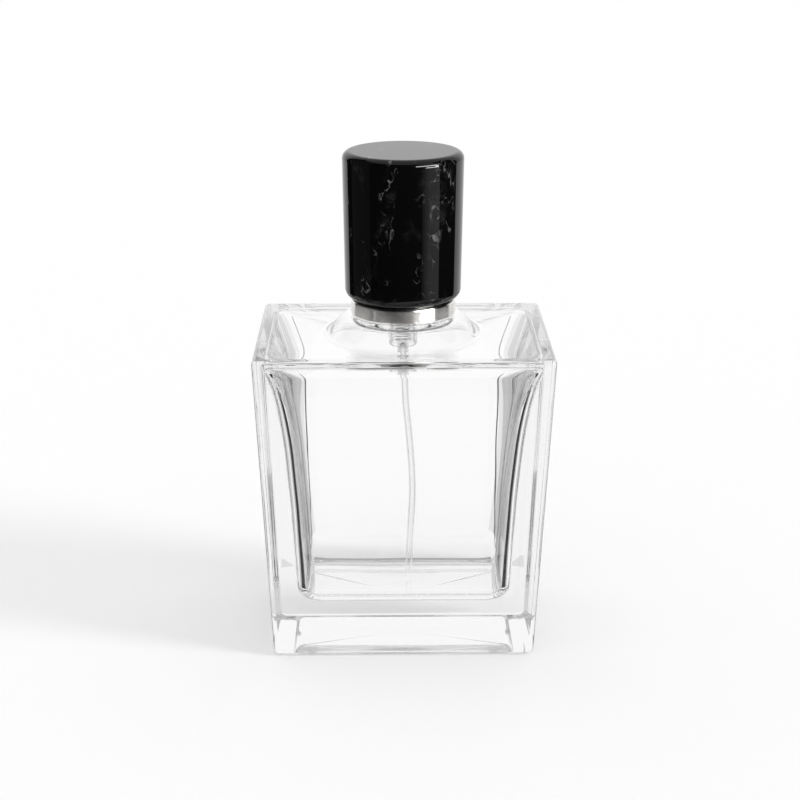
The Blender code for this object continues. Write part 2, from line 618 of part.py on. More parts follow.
def stem(colour, parent):
    """Hollow rod with a stop flange, and a spigot at its foot that holds the valve pin."""
    spigot_z = STEM_FLANGE_Z - SPIGOT_LENGTH
    pin_stop_z = PIN_TOP_Z + SEAT_GAP
    profile = [(PIN_SOCKET_RADIUS, spigot_z), (SPIGOT_RADIUS, spigot_z), (SPIGOT_RADIUS, STEM_FLANGE_Z)]
    profile += [(STEM_FLANGE_RADIUS, STEM_FLANGE_Z), (STEM_FLANGE_RADIUS, STEM_FLANGE_TOP_Z)]
    profile += [(STEM_RADIUS, STEM_FLANGE_TOP_Z), (STEM_RADIUS, STEM_TOP_Z)]
    profile += [(STEM_BORE_RADIUS, STEM_TOP_Z), (STEM_BORE_RADIUS, pin_stop_z)]
    profile.append((PIN_SOCKET_RADIUS, pin_stop_z))
    turned("stem", profile, colour, parent, SMALL_STEPS)


def valve_pin(colour, parent):
    """Its head stops the piston, and its ports lead up into the stem."""
    bore_z = PIN_HEAD_TOP_Z + PIN_PORT_RADIUS
    profile = [(0.0, PIN_HEAD_Z), (PIN_HEAD_RADIUS, PIN_HEAD_Z), (PIN_HEAD_RADIUS, PIN_HEAD_TOP_Z)]
    profile += [(PIN_SHANK_RADIUS, PIN_HEAD_TOP_Z), (PIN_SHANK_RADIUS, PIN_TOP_Z)]
    profile += [(PIN_BORE_RADIUS, PIN_TOP_Z), (PIN_BORE_RADIUS, bore_z), (0.0, bore_z)]
    pin = turned("valve_pin", profile, colour, parent, SMALL_STEPS)
    port_z = PIN_HEAD_TOP_Z + PIN_PORT_RADIUS * 2
    reach = PIN_SHANK_RADIUS * 2
    cut(pin, rod_cutter("pin_port", (-reach, 0, port_z), (reach, 0, port_z), PIN_PORT_RADIUS, colour, 8))


def piston(colour, parent):
    """Sleeve that slides on the pin, with a thin lip at each end and a waist between."""
    bore = PIN_SHANK_RADIUS + RUN_GAP
    waist = PISTON_RADIUS - PISTON_WAIST
    lip = PISTON_LENGTH / 4
    profile = [(bore, PISTON_Z), (waist, PISTON_Z), (PISTON_RADIUS, PISTON_Z + lip / 2)]
    profile += [(waist, PISTON_Z + lip), (waist, PISTON_TOP_Z - lip)]
    profile += [(PISTON_RADIUS, PISTON_TOP_Z - lip / 2), (waist, PISTON_TOP_Z), (bore, PISTON_TOP_Z)]
    turned("piston", profile, colour, parent)


def inlet_ball(colour, parent):
    turned("inlet_ball", arc((0.0, BALL_Z), BALL_RADIUS, -90, 90, 8), colour, parent, 16)


# Actuator


def actuator_core(colour, parent):
    """Push button with a socket for the stem and a duct to the nozzle."""
    skirt = ACTUATOR_RADIUS - ACTUATOR_WALL
    roof = ACTUATOR_Z + ACTUATOR_SKIRT
    duct_top = NOZZLE_Z
    profile = [(0.0, ACTUATOR_TOP_Z), (ACTUATOR_RADIUS, ACTUATOR_TOP_Z), (ACTUATOR_RADIUS, ACTUATOR_Z)]
    profile += [(skirt, ACTUATOR_Z), (skirt, roof), (BOSS_RADIUS, roof), (BOSS_RADIUS, BOSS_Z)]
    profile += [(GUIDE_RADIUS, BOSS_Z), (GUIDE_RADIUS, STEM_TOP_Z + SEAT_GAP)]
    profile += [(DUCT_RADIUS, STEM_TOP_Z + SEAT_GAP), (DUCT_RADIUS, duct_top), (0.0, duct_top)]
    core = turned("actuator_core", profile, colour, parent)
    outside = (0, -2 * ACTUATOR_RADIUS, NOZZLE_Z)
    pocket = (0, NOZZLE_LENGTH + SEAT_GAP - ACTUATOR_RADIUS, NOZZLE_Z)
    cut(core, rod_cutter("nozzle_pocket", outside, pocket, NOZZLE_RADIUS + FIT_GAP, colour))
    cut(core, rod_cutter("nozzle_duct", outside, (0, 0, NOZZLE_Z), DUCT_RADIUS, colour, 8))


def actuator_shell(colour, parent):
    """Metal cover of the button, with a hole for the nozzle and a shallow finger hollow."""
    edge = SHELL_OUTER - SHELL_INNER
    dish = ACTUATOR_DISH
    profile = [(0.0, ACTUATOR_TOP_Z + SEAT_GAP), (SHELL_INNER, ACTUATOR_TOP_Z + SEAT_GAP)]
    profile += [(SHELL_INNER, ACTUATOR_Z), (SHELL_OUTER, ACTUATOR_Z)]
    profile += arc((SHELL_OUTER - edge, SHELL_TOP_Z + dish - edge), edge, 0, 90, 3)
    profile += [(SHELL_INNER * 0.7, SHELL_TOP_Z), (0.0, SHELL_TOP_Z)]
    shell = turned("actuator_shell", profile, colour, parent)
    outside = (0, -2 * SHELL_OUTER, NOZZLE_Z)
    cut(shell, rod_cutter("nozzle_hole", outside, (0, 0, NOZZLE_Z), NOZZLE_RADIUS + FIT_GAP, colour))


def nozzle_insert(colour, parent):
    """Turned about its own axis, then laid to face the front."""
    tip = NOZZLE_LENGTH
    throat = NOZZLE_CHAMBER_LENGTH
    profile = [(NOZZLE_CHAMBER_RADIUS, 0.0), (NOZZLE_RADIUS, 0.0), (NOZZLE_RADIUS, tip)]
    profile += [(NOZZLE_DISH_RADIUS, tip), (ORIFICE_RADIUS, tip - NOZZLE_DISH_DEPTH)]
    profile += [(ORIFICE_RADIUS, throat), (NOZZLE_CHAMBER_RADIUS, throat)]
    nozzle = turned("nozzle_insert", profile, colour, parent, SMALL_STEPS)
    nozzle.rotation_euler = (math.pi / 2, 0, 0)
    nozzle.location = (0, NOZZLE_LENGTH - ACTUATOR_RADIUS, NOZZLE_Z)


# Cap


def cap_shell(colour, parent):
    """Heavy outer cup, a little wider at the top, with rounded upper and lower edges."""
    top_edge = CAP_TOP_EDGE_RADIUS
    foot_edge = min(CAP_FOOT_EDGE_RADIUS, CAP_SHELL_WALL * 0.9)
    profile = [(0.0, CAP_HOLLOW_TOP_Z), (CAP_HOLLOW_RADIUS, CAP_HOLLOW_TOP_Z)]
    profile.append((CAP_HOLLOW_RADIUS, CAP_Z))
    profile += arc((CAP_FOOT_RADIUS - foot_edge, CAP_Z + foot_edge), foot_edge, -90, 0, 5)
    profile += arc((CAP_TOP_RADIUS - top_edge, CAP_TOP_Z - top_edge), top_edge, 0, 90, 5)
    profile.append((0.0, CAP_TOP_Z))
    turned("cap_shell", profile, colour, parent, LARGE_STEPS)


def cap_liner(colour, parent):
    """Plastic cup inside the shell, which grips the collar's sleeve with its lower part."""
    upper = CAP_LINER_OUTER - CAP_LINER_UPPER_WALL
    foot = CAP_Z + FIT_GAP
    top = CAP_CEILING_Z + CAP_LINER_WALL
    profile = [(0.0, CAP_CEILING_Z), (upper, CAP_CEILING_Z), (upper, CAP_Z + CAP_GRIP_HEIGHT)]
    profile += [(CAP_GRIP_RADIUS, CAP_Z + CAP_GRIP_HEIGHT), (CAP_GRIP_RADIUS, foot)]
    profile += [(CAP_LINER_OUTER, foot), (CAP_LINER_OUTER, top), (0.0, top)]
    turned("cap_liner", profile, colour, parent, LARGE_STEPS)


def cap_weight(colour, parent):
    top = CAP_WEIGHT_Z + CAP_WEIGHT_THICKNESS
    profile = [(0.0, CAP_WEIGHT_Z), (CAP_LINER_OUTER, CAP_WEIGHT_Z), (CAP_LINER_OUTER, top), (0.0, top)]
    turned("cap_weight", profile, colour, parent, LARGE_STEPS)


def main():
    clear_scene()
    glass = material("clear_glass", (0.97, 0.98, 0.98), 0.02, transmission=1.0)
    marble = material("black_marbled_plastic", (0.012, 0.012, 0.013), 0.12)
    polished = material("polished_aluminium", (0.80, 0.79, 0.77), 0.08, metallic=1.0)
    brushed = material("anodised_aluminium", (0.76, 0.76, 0.77), 0.28, metallic=1.0)
    steel = material("steel", (0.62, 0.62, 0.63), 0.25, metallic=1.0)
    natural = material("natural_plastic", (0.86, 0.87, 0.88), 0.35)
    clear = material("clear_plastic", (0.90, 0.92, 0.93), 0.2, transmission=0.8)
    white = material("white_plastic", (0.85, 0.85, 0.84), 0.4)
    black = material("black_plastic", (0.03, 0.03, 0.03), 0.45)
    rubber = material("black_rubber", (0.04, 0.04, 0.04), 0.7)

    bottle = group("bottle_axis")
    glass_bottle(glass, bottle)
    neck_gasket(rubber, bottle)
    crimp_ferrule(polished, bottle)
    collar_liner(natural, bottle)
    collar_ring(polished, bottle)
    pump_housing(clear, bottle)
    stem_seal(rubber, bottle)
    turret(white, bottle)
    dip_tube(clear, bottle)
    coil(
        "return_spring",
        RETURN_MEAN_RADIUS,
        CHAMBER_FLOOR_Z + STOP_GAP,
        PIN_HEAD_Z - STOP_GAP,
        RETURN_WIRE,
        RETURN_TURNS,
        steel,
        bottle,
    )

    stem_axis = group("stem_axis")
    stem(white, stem_axis)
    valve_pin(natural, stem_axis)
    coil(
        "outlet_spring",
        OUTLET_MEAN_RADIUS,
        PISTON_TOP_Z + STOP_GAP,
        STEM_FLANGE_Z - STOP_GAP,
        OUTLET_WIRE,
        OUTLET_TURNS,
        steel,
        stem_axis,
    )

    piston(natural, group("piston_axis"))
    inlet_ball(steel, group("ball_axis"))

    actuator_axis = group("actuator_axis")
    actuator_core(white, actuator_axis)
    actuator_shell(brushed, actuator_axis)
    nozzle_insert(white, actuator_axis)

    cap_axis = group("cap_axis")
    cap_shell(marble, cap_axis)
    cap_liner(black, cap_axis)
    cap_weight(steel, cap_axis)


main()
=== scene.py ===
import math

import bpy
import numpy as np
from mathutils import Matrix, Vector


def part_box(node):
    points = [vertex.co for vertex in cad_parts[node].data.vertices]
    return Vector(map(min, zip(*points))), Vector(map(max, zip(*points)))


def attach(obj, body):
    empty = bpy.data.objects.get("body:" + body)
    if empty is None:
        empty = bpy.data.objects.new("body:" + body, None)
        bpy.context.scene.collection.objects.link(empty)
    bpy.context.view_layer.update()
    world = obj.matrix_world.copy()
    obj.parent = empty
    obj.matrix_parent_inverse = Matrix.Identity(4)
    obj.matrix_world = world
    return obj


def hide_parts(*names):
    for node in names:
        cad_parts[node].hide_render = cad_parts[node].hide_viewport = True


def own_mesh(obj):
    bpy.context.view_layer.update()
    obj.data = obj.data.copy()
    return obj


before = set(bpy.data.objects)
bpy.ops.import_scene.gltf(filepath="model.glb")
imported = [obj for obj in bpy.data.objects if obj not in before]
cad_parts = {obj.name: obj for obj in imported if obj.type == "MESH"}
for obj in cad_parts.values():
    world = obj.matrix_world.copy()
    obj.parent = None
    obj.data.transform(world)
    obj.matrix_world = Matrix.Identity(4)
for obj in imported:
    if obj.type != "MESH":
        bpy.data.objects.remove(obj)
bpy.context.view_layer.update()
mm = 0.001


# Places, read from the frame in millimetres

def lowOf(node):
    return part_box(node)[0].z / mm


def highOf(node):
    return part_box(node)[1].z / mm


def radiusOf(node):
    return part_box(node)[1].x / mm


# Shapes. Every piece is a grid of points, rows by columns, worked out as whole arrays

def arc(centreR, centreZ, radius, start, end, steps):
    # (r, z) = centre + radius * (cos a, sin a), with a running from start to end in degrees
    a = np.radians(np.linspace(start, end, steps + 1))
    return np.stack([centreR + radius * np.cos(a), centreZ + radius * np.sin(a)], axis=1)


def outline(*stretches):
    # joins points and arcs into one outline of (r, z)
    return np.vstack([np.atleast_2d(np.asarray(s, float)) for s in stretches])


def supported(profile, reach=0.12):
    # adds a point at the distance reach from both ends of each long stretch, so that flats look flat
    start, end = profile[:-1], profile[1:]
    length = np.linalg.norm(end - start, axis=1)
    share = (reach / np.maximum(length, 1e-6))[:, None]
    rows = np.stack([start, start + (end - start) * share, end - (end - start) * share], axis=1)
    long = length > 4 * reach
    keep = np.stack([np.ones(len(start), bool), long, long], axis=1)
    return np.vstack([rows[keep], profile[-1:]])


def smoothed(mesh, sharpAngle=38):
    # smooth faces, with a hard edge wherever two of them meet at more than the sharp angle
    mesh.shade_smooth()
    mesh.set_sharp_from_angle(angle=math.radians(sharpAngle))


def gridPiece(name, grid, finish, ends="fan"):
    # grid[i, j] is the point at row i and column j, in millimetres. Columns close into a loop.
    # ends: "fan" closes the first and last row with a middle point, "join" joins the last row to the first
    rows, columns = grid.shape[:2]
    points = grid.reshape(-1, 3)
    i, j = np.meshgrid(np.arange(rows if ends == "join" else rows - 1), np.arange(columns), indexing="ij")
    nextI, nextJ = (i + 1) % rows, (j + 1) % columns
    corners = [i * columns + j, i * columns + nextJ, nextI * columns + nextJ, nextI * columns + j]
    quads = np.stack(corners, axis=-1).reshape(-1, 4)
    fans = np.empty((0, 3), int)
    if ends == "fan":
        points = np.vstack([points, grid[0].mean(axis=0), grid[-1].mean(axis=0)])
        ring, after = np.arange(columns), (np.arange(columns) + 1) % columns
        last = (rows - 1) * columns
        first = np.stack([after, ring, np.full(columns, rows * columns)], axis=1)
        final = np.stack([last + ring, last + after, np.full(columns, rows * columns + 1)], axis=1)
        fans = np.vstack([first, final])
    triangles = np.vstack([quads[:, :3], quads[:, [0, 2, 3]], fans])
    a, b, c = points[triangles[:, 0]], points[triangles[:, 1]], points[triangles[:, 2]]
    if np.einsum("ij,ij->i", a, np.cross(b, c)).sum() < 0:   # the faces point inwards
        quads, fans = quads[:, ::-1], fans[:, ::-1]
    mesh = bpy.data.meshes.new(name)
    mesh.from_pydata((points * mm).tolist(), [], quads.tolist() + fans.tolist())
    smoothed(mesh)
    mesh.materials.append(finish)
    piece = bpy.data.objects.new(name, mesh)
    bpy.context.scene.collection.objects.link(piece)
    return piece


def turnedPiece(name, profile, finish, columns=128, ends="join"):
    # (x, y, z) = (r cos a, r sin a, z) for each point (r, z) of the profile and a from 0 to a full turn
    profile = supported(profile)
    a = np.arange(columns) / columns * math.tau
    r, z = profile[:, :1], profile[:, 1:]
    grid = np.stack([r * np.cos(a), r * np.sin(a), z + 0 * a], axis=-1)
    return gridPiece(name, grid, finish, ends)


def solidTurned(name, profile, finish, columns=128):
    # a profile that starts and ends close to the axis, closed there with a fan
    profile = np.array(profile, float)
    profile[[0, -1], 0] = 0.02
    return turnedPiece(name, profile, finish, columns, "fan")


def tubeGrid(path, sideways, radius, columns):
    # path(t) + radius * (cos a * side + sin a * up), where side is square to the path and up to both
    along = np.gradient(path, axis=0)
    along /= np.linalg.norm(along, axis=1)[:, None]
    side = sideways - along * np.einsum("ij,ij->i", along, sideways)[:, None]
    side /= np.linalg.norm(side, axis=1)[:, None]
    up = np.cross(along, side)
    a = (np.arange(columns) / columns * math.tau)[None, :, None]
    return path[:, None] + radius * (np.cos(a) * side[:, None] + np.sin(a) * up[:, None])


def coilPiece(name, meanRadius, low, high, wire, turns, finish):
    # (R cos w, R sin w, low + (high - low) * climb), where climb is flat over half a turn at each end
    share = np.linspace(0, 1, turns * 40 + 1)
    flat = 0.5 / turns
    climb = np.clip((share - flat) / (1 - 2 * flat), 0, 1)
    w = share * turns * math.tau
    z = low + wire / 2 + (high - low - wire) * climb
    path = np.stack([meanRadius * np.cos(w), meanRadius * np.sin(w), z], axis=1)
    outwards = np.stack([np.cos(w), np.sin(w), 0 * w], axis=1)
    return gridPiece(name, tubeGrid(path, outwards, wire / 2, 12), finish)


def drilled(piece, start, end, radius):
    # takes a round hole out of a piece and keeps the result as its mesh
    start, end = Vector(start) * mm, Vector(end) * mm
    a = np.arange(64) / 64 * math.tau
    length = (end - start).length
    ring = np.stack([radius * np.cos(a), radius * np.sin(a), 0 * a], axis=1)
    drill = gridPiece("drill", np.stack([ring, ring + [0, 0, length / mm]]), piece.data.materials[0])
    aim = (end - start).to_track_quat("Z", "Y").to_matrix().to_4x4()
    drill.matrix_world = Matrix.Translation(start) @ aim
    cut = piece.modifiers.new("hole", "BOOLEAN")
    cut.solver = "EXACT"
    cut.object = drill
    whole = bpy.data.meshes.new_from_object(piece.evaluated_get(bpy.context.evaluated_depsgraph_get()))
    piece.modifiers.clear()
    piece.data = whole
    smoothed(whole)
    bpy.data.objects.remove(drill, do_unlink=True)
    return piece


def place(piece, node, body):
    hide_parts(node)
    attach(piece, body)
    return piece


def refinish(node, finish):
    # a node whose shape is right as it is keeps it and only gets a finish
    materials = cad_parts[node].data.materials
    materials.clear()
    materials.append(finish)


# Finishes. Each reads Object coordinates, so a pattern keeps its place on the piece. Noise scales are per
# metre and bump depths in millimetres

def newFinish(name, colour, roughness, metallic=0.0, transmission=0.0, ior=1.5):
    made = bpy.data.materials.new(name)
    made.use_nodes = True
    tree = made.node_tree
    shader = tree.nodes["Principled BSDF"]
    shader.inputs["Base Color"].default_value = (*colour, 1.0)
    shader.inputs["Roughness"].default_value = roughness
    shader.inputs["Metallic"].default_value = metallic
    shader.inputs["Transmission Weight"].default_value = transmission
    shader.inputs["IOR"].default_value = ior
    return made, tree, shader


def objectPoint(tree, stretch=(1, 1, 1), turn=(0, 0, 0)):
    where = tree.nodes.new("ShaderNodeTexCoord")
    mapping = tree.nodes.new("ShaderNodeMapping")
    mapping.inputs["Scale"].default_value = stretch
    mapping.inputs["Rotation"].default_value = turn
    tree.links.new(where.outputs["Object"], mapping.inputs["Vector"])
    return mapping.outputs["Vector"]


def noise(tree, point, perMetre, detail=3.0, roughness=0.5, distortion=0.0):
    made = tree.nodes.new("ShaderNodeTexNoise")
    made.inputs["Scale"].default_value = perMetre
    made.inputs["Detail"].default_value = detail
    made.inputs["Roughness"].default_value = roughness
    made.inputs["Distortion"].default_value = distortion
    tree.links.new(point, made.inputs["Vector"])
    return made.outputs["Fac"]


def ranged(tree, value, fromLow, fromHigh, low, high, smooth=False):
    made = tree.nodes.new("ShaderNodeMapRange")
    made.interpolation_type = "SMOOTHSTEP" if smooth else "LINEAR"
    for socket, number in zip(("From Min", "From Max", "To Min", "To Max"), (fromLow, fromHigh, low, high)):
        made.inputs[socket].default_value = number
    tree.links.new(value, made.inputs["Value"])
    return made.outputs["Result"]


def combined(tree, operation, first, second):
    made = tree.nodes.new("ShaderNodeMath")
    made.operation = operation
    for socket, value in zip(made.inputs, (first, second)):
        if isinstance(value, (int, float)):
            socket.default_value = value
        else:
            tree.links.new(value, socket)
    return made.outputs["Value"]


def mixedColour(tree, factor, first, second):
    made = tree.nodes.new("ShaderNodeMix")
    made.data_type = "RGBA"
    tree.links.new(factor, made.inputs["Factor"])
    for socket, colour in ((made.inputs[6], first), (made.inputs[7], second)):
        if isinstance(colour, tuple):
            socket.default_value = (*colour, 1.0)
        else:
            tree.links.new(colour, socket)
    return made.outputs[2]


def bumped(tree, shader, height, depth, strength=1.0):
    made = tree.nodes.new("ShaderNodeBump")
    made.inputs["Strength"].default_value = strength
    made.inputs["Distance"].default_value = depth * mm
    tree.links.new(height, made.inputs["Height"])
    tree.links.new(made.outputs["Normal"], shader.inputs["Normal"])


def clearGlass():
    # polished flint glass, with the slow ripple that a mould leaves and faint wear
    made, tree, shader = newFinish("clear_flint_glass", (1.0, 1.0, 1.0), 0.0, transmission=1.0, ior=1.5)
    point = objectPoint(tree, (1, 1, 0.5))
    ripple = noise(tree, point, 55, 1.0)
    bumped(tree, shader, ripple, 0.03, 0.15)
    wear = noise(tree, point, 900, 2.0)
    tree.links.new(ranged(tree, wear, 0.62, 0.8, 0.0, 0.03), shader.inputs["Roughness"])
    # painted shade: where an upright face is seen edge-on, the glass colour goes towards near black, standing
    # in for the dark of the room that such edges show: grey = edge-on view * (1 - |up part of the normal|)
    view = tree.nodes.new("ShaderNodeLayerWeight")
    view.inputs["Blend"].default_value = 0.5
    surface = tree.nodes.new("ShaderNodeNewGeometry")
    parts = tree.nodes.new("ShaderNodeSeparateXYZ")
    tree.links.new(surface.outputs["Normal"], parts.inputs["Vector"])
    upright = combined(tree, "SUBTRACT", 1.0, combined(tree, "ABSOLUTE", parts.outputs["Z"], 0))
    edge = ranged(tree, view.outputs["Facing"], 0.35, 0.8, 0.0, 1.0, True)
    shade = mixedColour(tree, combined(tree, "MULTIPLY", edge, upright), (1.0, 1.0, 1.0), (0.03, 0.03, 0.03))
    tree.links.new(shade, shader.inputs["Base Color"])
    depth = tree.nodes.new("ShaderNodeVolumeAbsorption")
    depth.inputs["Color"].default_value = (0.9, 0.9, 0.9, 1.0)
    depth.inputs["Density"].default_value = 18.0
    tree.links.new(depth.outputs["Volume"], tree.nodes["Material Output"].inputs["Volume"])
    return made


def marbledBlack():
    # gloss black moulding with sparse grey wisps: creases of a warped noise, kept to a few upright patches
    made, tree, shader = newFinish("marbled_black_plastic", (0.004, 0.004, 0.004), 0.05, ior=1.49)
    shader.inputs["Specular IOR Level"].default_value = 0.3
    point = objectPoint(tree, (1.2, 1.2, 0.9), (0.35, 0.5, 0.0))
    warp = tree.nodes.new("ShaderNodeTexNoise")
    warp.inputs["Scale"].default_value = 300
    warp.inputs["Detail"].default_value = 3.0
    tree.links.new(point, warp.inputs["Vector"])
    shift = tree.nodes.new("ShaderNodeVectorMath")
    shift.operation = "MULTIPLY_ADD"
    shift.inputs[1].default_value = (0.0055, 0.0055, 0.0055)
    tree.links.new(warp.outputs["Color"], shift.inputs[0])
    tree.links.new(point, shift.inputs[2])
    bent = shift.outputs["Vector"]
    crease = combined(tree, "ABSOLUTE", combined(tree, "SUBTRACT", noise(tree, bent, 210, 2.0), 0.5), 0)
    vein = ranged(tree, crease, 0.0, 0.028, 1.0, 0.0, True)
    strength = ranged(tree, noise(tree, bent, 430, 2.0), 0.46, 0.66, 0.04, 1.0, True)
    tall = objectPoint(tree, (1.5, 1.5, 0.4))
    patch = ranged(tree, noise(tree, tall, 150, 1.0), 0.46, 0.58, 0.0, 1.0, True)
    cloud = ranged(tree, noise(tree, bent, 260, 4.0, 0.6), 0.5, 0.85, 0.0, 0.22, True)
    wisps = combined(tree, "MAXIMUM", combined(tree, "MULTIPLY", vein, strength), cloud)
    marks = combined(tree, "MULTIPLY", wisps, patch)
    colour = mixedColour(tree, marks, (0.0026, 0.0026, 0.0027), (0.13, 0.13, 0.128))
    tree.links.new(colour, shader.inputs["Base Color"])
    handling = noise(tree, point, 420, 3.0)
    tree.links.new(ranged(tree, handling, 0.35, 0.75, 0.03, 0.07), shader.inputs["Roughness"])
    bumped(tree, shader, noise(tree, point, 240, 1.0), 0.02, 0.2)
    return made


def polishedAluminium():
    # bright rolled band: a near mirror with hair lines round it and faint cloudiness
    made, tree, shader = newFinish("bright_aluminium", (0.86, 0.845, 0.82), 0.24, metallic=1.0)
    shader.inputs["Anisotropic"].default_value = 0.92
    shader.inputs["Anisotropic Rotation"].default_value = 0.25
    roundAxis = tree.nodes.new("ShaderNodeTangent")
    roundAxis.direction_type = "RADIAL"
    roundAxis.axis = "Z"
    tree.links.new(roundAxis.outputs["Tangent"], shader.inputs["Tangent"])
    lines = noise(tree, objectPoint(tree, (1, 1, 26)), 700, 2.0)
    cloud = noise(tree, objectPoint(tree), 260, 2.0)
    tint = ranged(tree, cloud, 0.3, 0.7, 0.0, 1.0)
    colour = mixedColour(tree, tint, (0.93, 0.915, 0.89), (0.88, 0.86, 0.83))
    tree.links.new(colour, shader.inputs["Base Color"])
    tree.links.new(ranged(tree, cloud, 0.3, 0.75, 0.22, 0.27), shader.inputs["Roughness"])
    bumped(tree, shader, lines, 0.004, 0.3)
    return made


def satinAluminium(name, colour, rough):
    # anodised skin: fine turning marks round the axis, and a slightly mottled gloss
    made, tree, shader = newFinish(name, colour, rough, metallic=1.0)
    lines = noise(tree, objectPoint(tree, (1, 1, 30)), 900, 3.0)
    mottle = noise(tree, objectPoint(tree), 320, 3.0)
    darker = tuple(0.88 * c for c in colour)
    tree.links.new(mixedColour(tree, mottle, colour, darker), shader.inputs["Base Color"])
    tree.links.new(ranged(tree, lines, 0.3, 0.7, rough * 0.8, rough * 1.25), shader.inputs["Roughness"])
    bumped(tree, shader, lines, 0.01, 0.35)
    return made


def drawnSteel():
    # bright wire and sheet with drawing marks
    made, tree, shader = newFinish("drawn_steel", (0.62, 0.62, 0.63), 0.22, metallic=1.0)
    marks = noise(tree, objectPoint(tree, (1, 1, 4)), 2200, 3.0)
    tint = mixedColour(tree, marks, (0.66, 0.66, 0.67), (0.5, 0.5, 0.51))
    tree.links.new(tint, shader.inputs["Base Color"])
    tree.links.new(ranged(tree, marks, 0.3, 0.7, 0.16, 0.32), shader.inputs["Roughness"])
    bumped(tree, shader, marks, 0.006, 0.3)
    return made


def clearPlastic(name, colour, rough, ior):
    # see-through moulding or tubing, a little milky, with flow lines along it
    made, tree, shader = newFinish(name, colour, rough, transmission=1.0, ior=ior)
    flow = noise(tree, objectPoint(tree, (1, 1, 0.12)), 1600, 3.0)
    milky = tuple(0.95 * c for c in colour)
    tree.links.new(mixedColour(tree, flow, colour, milky), shader.inputs["Base Color"])
    tree.links.new(ranged(tree, flow, 0.3, 0.7, rough * 0.7, rough * 1.4), shader.inputs["Roughness"])
    bumped(tree, shader, flow, 0.004, 0.12)
    return made


def mouldedPlastic(name, colour, rough, grain=900, depth=0.012):
    # opaque moulding with a fine eroded grain and slight shade changes
    made, tree, shader = newFinish(name, colour, rough, ior=1.48)
    texture = noise(tree, objectPoint(tree), grain, 3.0, 0.6)
    shade = noise(tree, objectPoint(tree), 140, 2.0)
    darker = tuple(0.86 * c for c in colour)
    tree.links.new(mixedColour(tree, shade, colour, darker), shader.inputs["Base Color"])
    tree.links.new(ranged(tree, texture, 0.3, 0.7, rough * 0.85, rough * 1.2), shader.inputs["Roughness"])
    bumped(tree, shader, texture, depth, 0.5)
    return made


finishes = {
    "glass": clearGlass(),
    "marble": marbledBlack(),
    "bright": polishedAluminium(),
    "crimped": satinAluminium("crimped_aluminium", (0.8, 0.8, 0.79), 0.24),
    "satin": satinAluminium("satin_aluminium", (0.76, 0.76, 0.77), 0.3),
    "steel": drawnSteel(),
    "clear": clearPlastic("clear_polypropylene", (0.96, 0.96, 0.962), 0.1, 1.36),
    "tubing": clearPlastic("natural_tubing", (0.98, 0.98, 0.98), 0.06, 1.3),
    "natural": mouldedPlastic("natural_polyethylene", (0.78, 0.785, 0.78), 0.4),
    "white": mouldedPlastic("white_polypropylene", (0.84, 0.84, 0.83), 0.36),
    "black": mouldedPlastic("black_polypropylene", (0.022, 0.022, 0.023), 0.42, 700, 0.02),
    "rubber": mouldedPlastic("black_nitrile_rubber", (0.03, 0.03, 0.03), 0.68, 1500, 0.02),
    "paleRubber": mouldedPlastic("pale_butyl_rubber", (0.8, 0.79, 0.76), 0.6, 1500, 0.02),
}
print("finishes made:", len(finishes))


# Glass bottle

# millimetres. The small steps of 0.1 to 0.3 beside an edge keep the flats flat when shaded
glassSizes = {
    "shoulderWidth": 70.0, "shoulderDepth": 51.6, "baseWidth": 63.4, "baseDepth": 40.6, "height": 77.0,
    "uprightEdge": 1.4, "shoulderEdge": 1.0, "baseEdge": 1.6,
    "bearing": 3.0, "puntDepth": 1.3, "puntSlope": 1.5,
    "floor": 12.6, "ceiling": 2.0, "sideWall": 6.3, "frontWall": 6.5, "rimWall": 1.6, "flareHeight": 11.0,
    "cavityCorner": 5.0, "cavityFloorEdge": 4.5, "cavityCeilingEdge": 2.6, "throatFlare": 3.2,
    "rootRadius": 19.6, "seatRadius": 12.4, "sweepInset": 0.8, "rootHeight": 4.8,
    "throat": 6.6, "throatHeight": 4.3, "bead": 7.5, "beadEdge": 0.6, "bore": 4.8,
    "ripple": 0.06,        # how far the blown inner walls wander
    "straightColumns": (0.0, 0.3, 0.6, 0.85, 0.97), "cornerColumns": 16,
    "bodyRows": 16, "sweepRows": 25, "cavityWallRows": 60,
}


def loopColumns():
    # a rounded rectangle is a rectangle plus a circle: x = alongX * (halfWidth - r) + r cos a, y alike
    straight = np.array(glassSizes["straightColumns"])
    corner = np.ones(glassSizes["cornerColumns"] + 1)
    alongX = np.concatenate([np.ones(len(straight)), corner, straight[::-1][:-1]])
    alongY = np.concatenate([straight, corner, np.ones(len(straight) - 1)])
    turn = np.linspace(0, 90, len(corner))
    a = np.concatenate([np.zeros(len(straight)), turn, np.full(len(straight) - 1, 90.0)])
    quarters = range(4)
    x = np.concatenate([(alongX, -alongY, -alongX, alongY)[q] for q in quarters])
    y = np.concatenate([(alongY, alongX, -alongY, -alongX)[q] for q in quarters])
    return x, y, np.radians(np.concatenate([a + 90 * q for q in quarters]))


def rectangleRows(halfWidth, halfDepth, radius, z):
    x, y, a = columnsOfLoop
    grid = np.empty((len(z), len(x), 3))
    grid[..., 0] = (halfWidth - radius)[:, None] * x + radius[:, None] * np.cos(a)
    grid[..., 1] = (halfDepth - radius)[:, None] * y + radius[:, None] * np.sin(a)
    grid[..., 2] = z[:, None]
    return grid


def circleRows(profile):
    a = np.arange(len(columnsOfLoop[0])) / len(columnsOfLoop[0]) * math.tau
    r, z = profile[:, :1], profile[:, 1:]
    return np.stack([r * np.cos(a), r * np.sin(a), z + 0 * a], axis=-1)


def bodyHalves(z):
    g, share = glassSizes, z / glassSizes["height"]
    halfWidth = (g["baseWidth"] + (g["shoulderWidth"] - g["baseWidth"]) * share) / 2
    halfDepth = (g["baseDepth"] + (g["shoulderDepth"] - g["baseDepth"]) * share) / 2
    return halfWidth, halfDepth


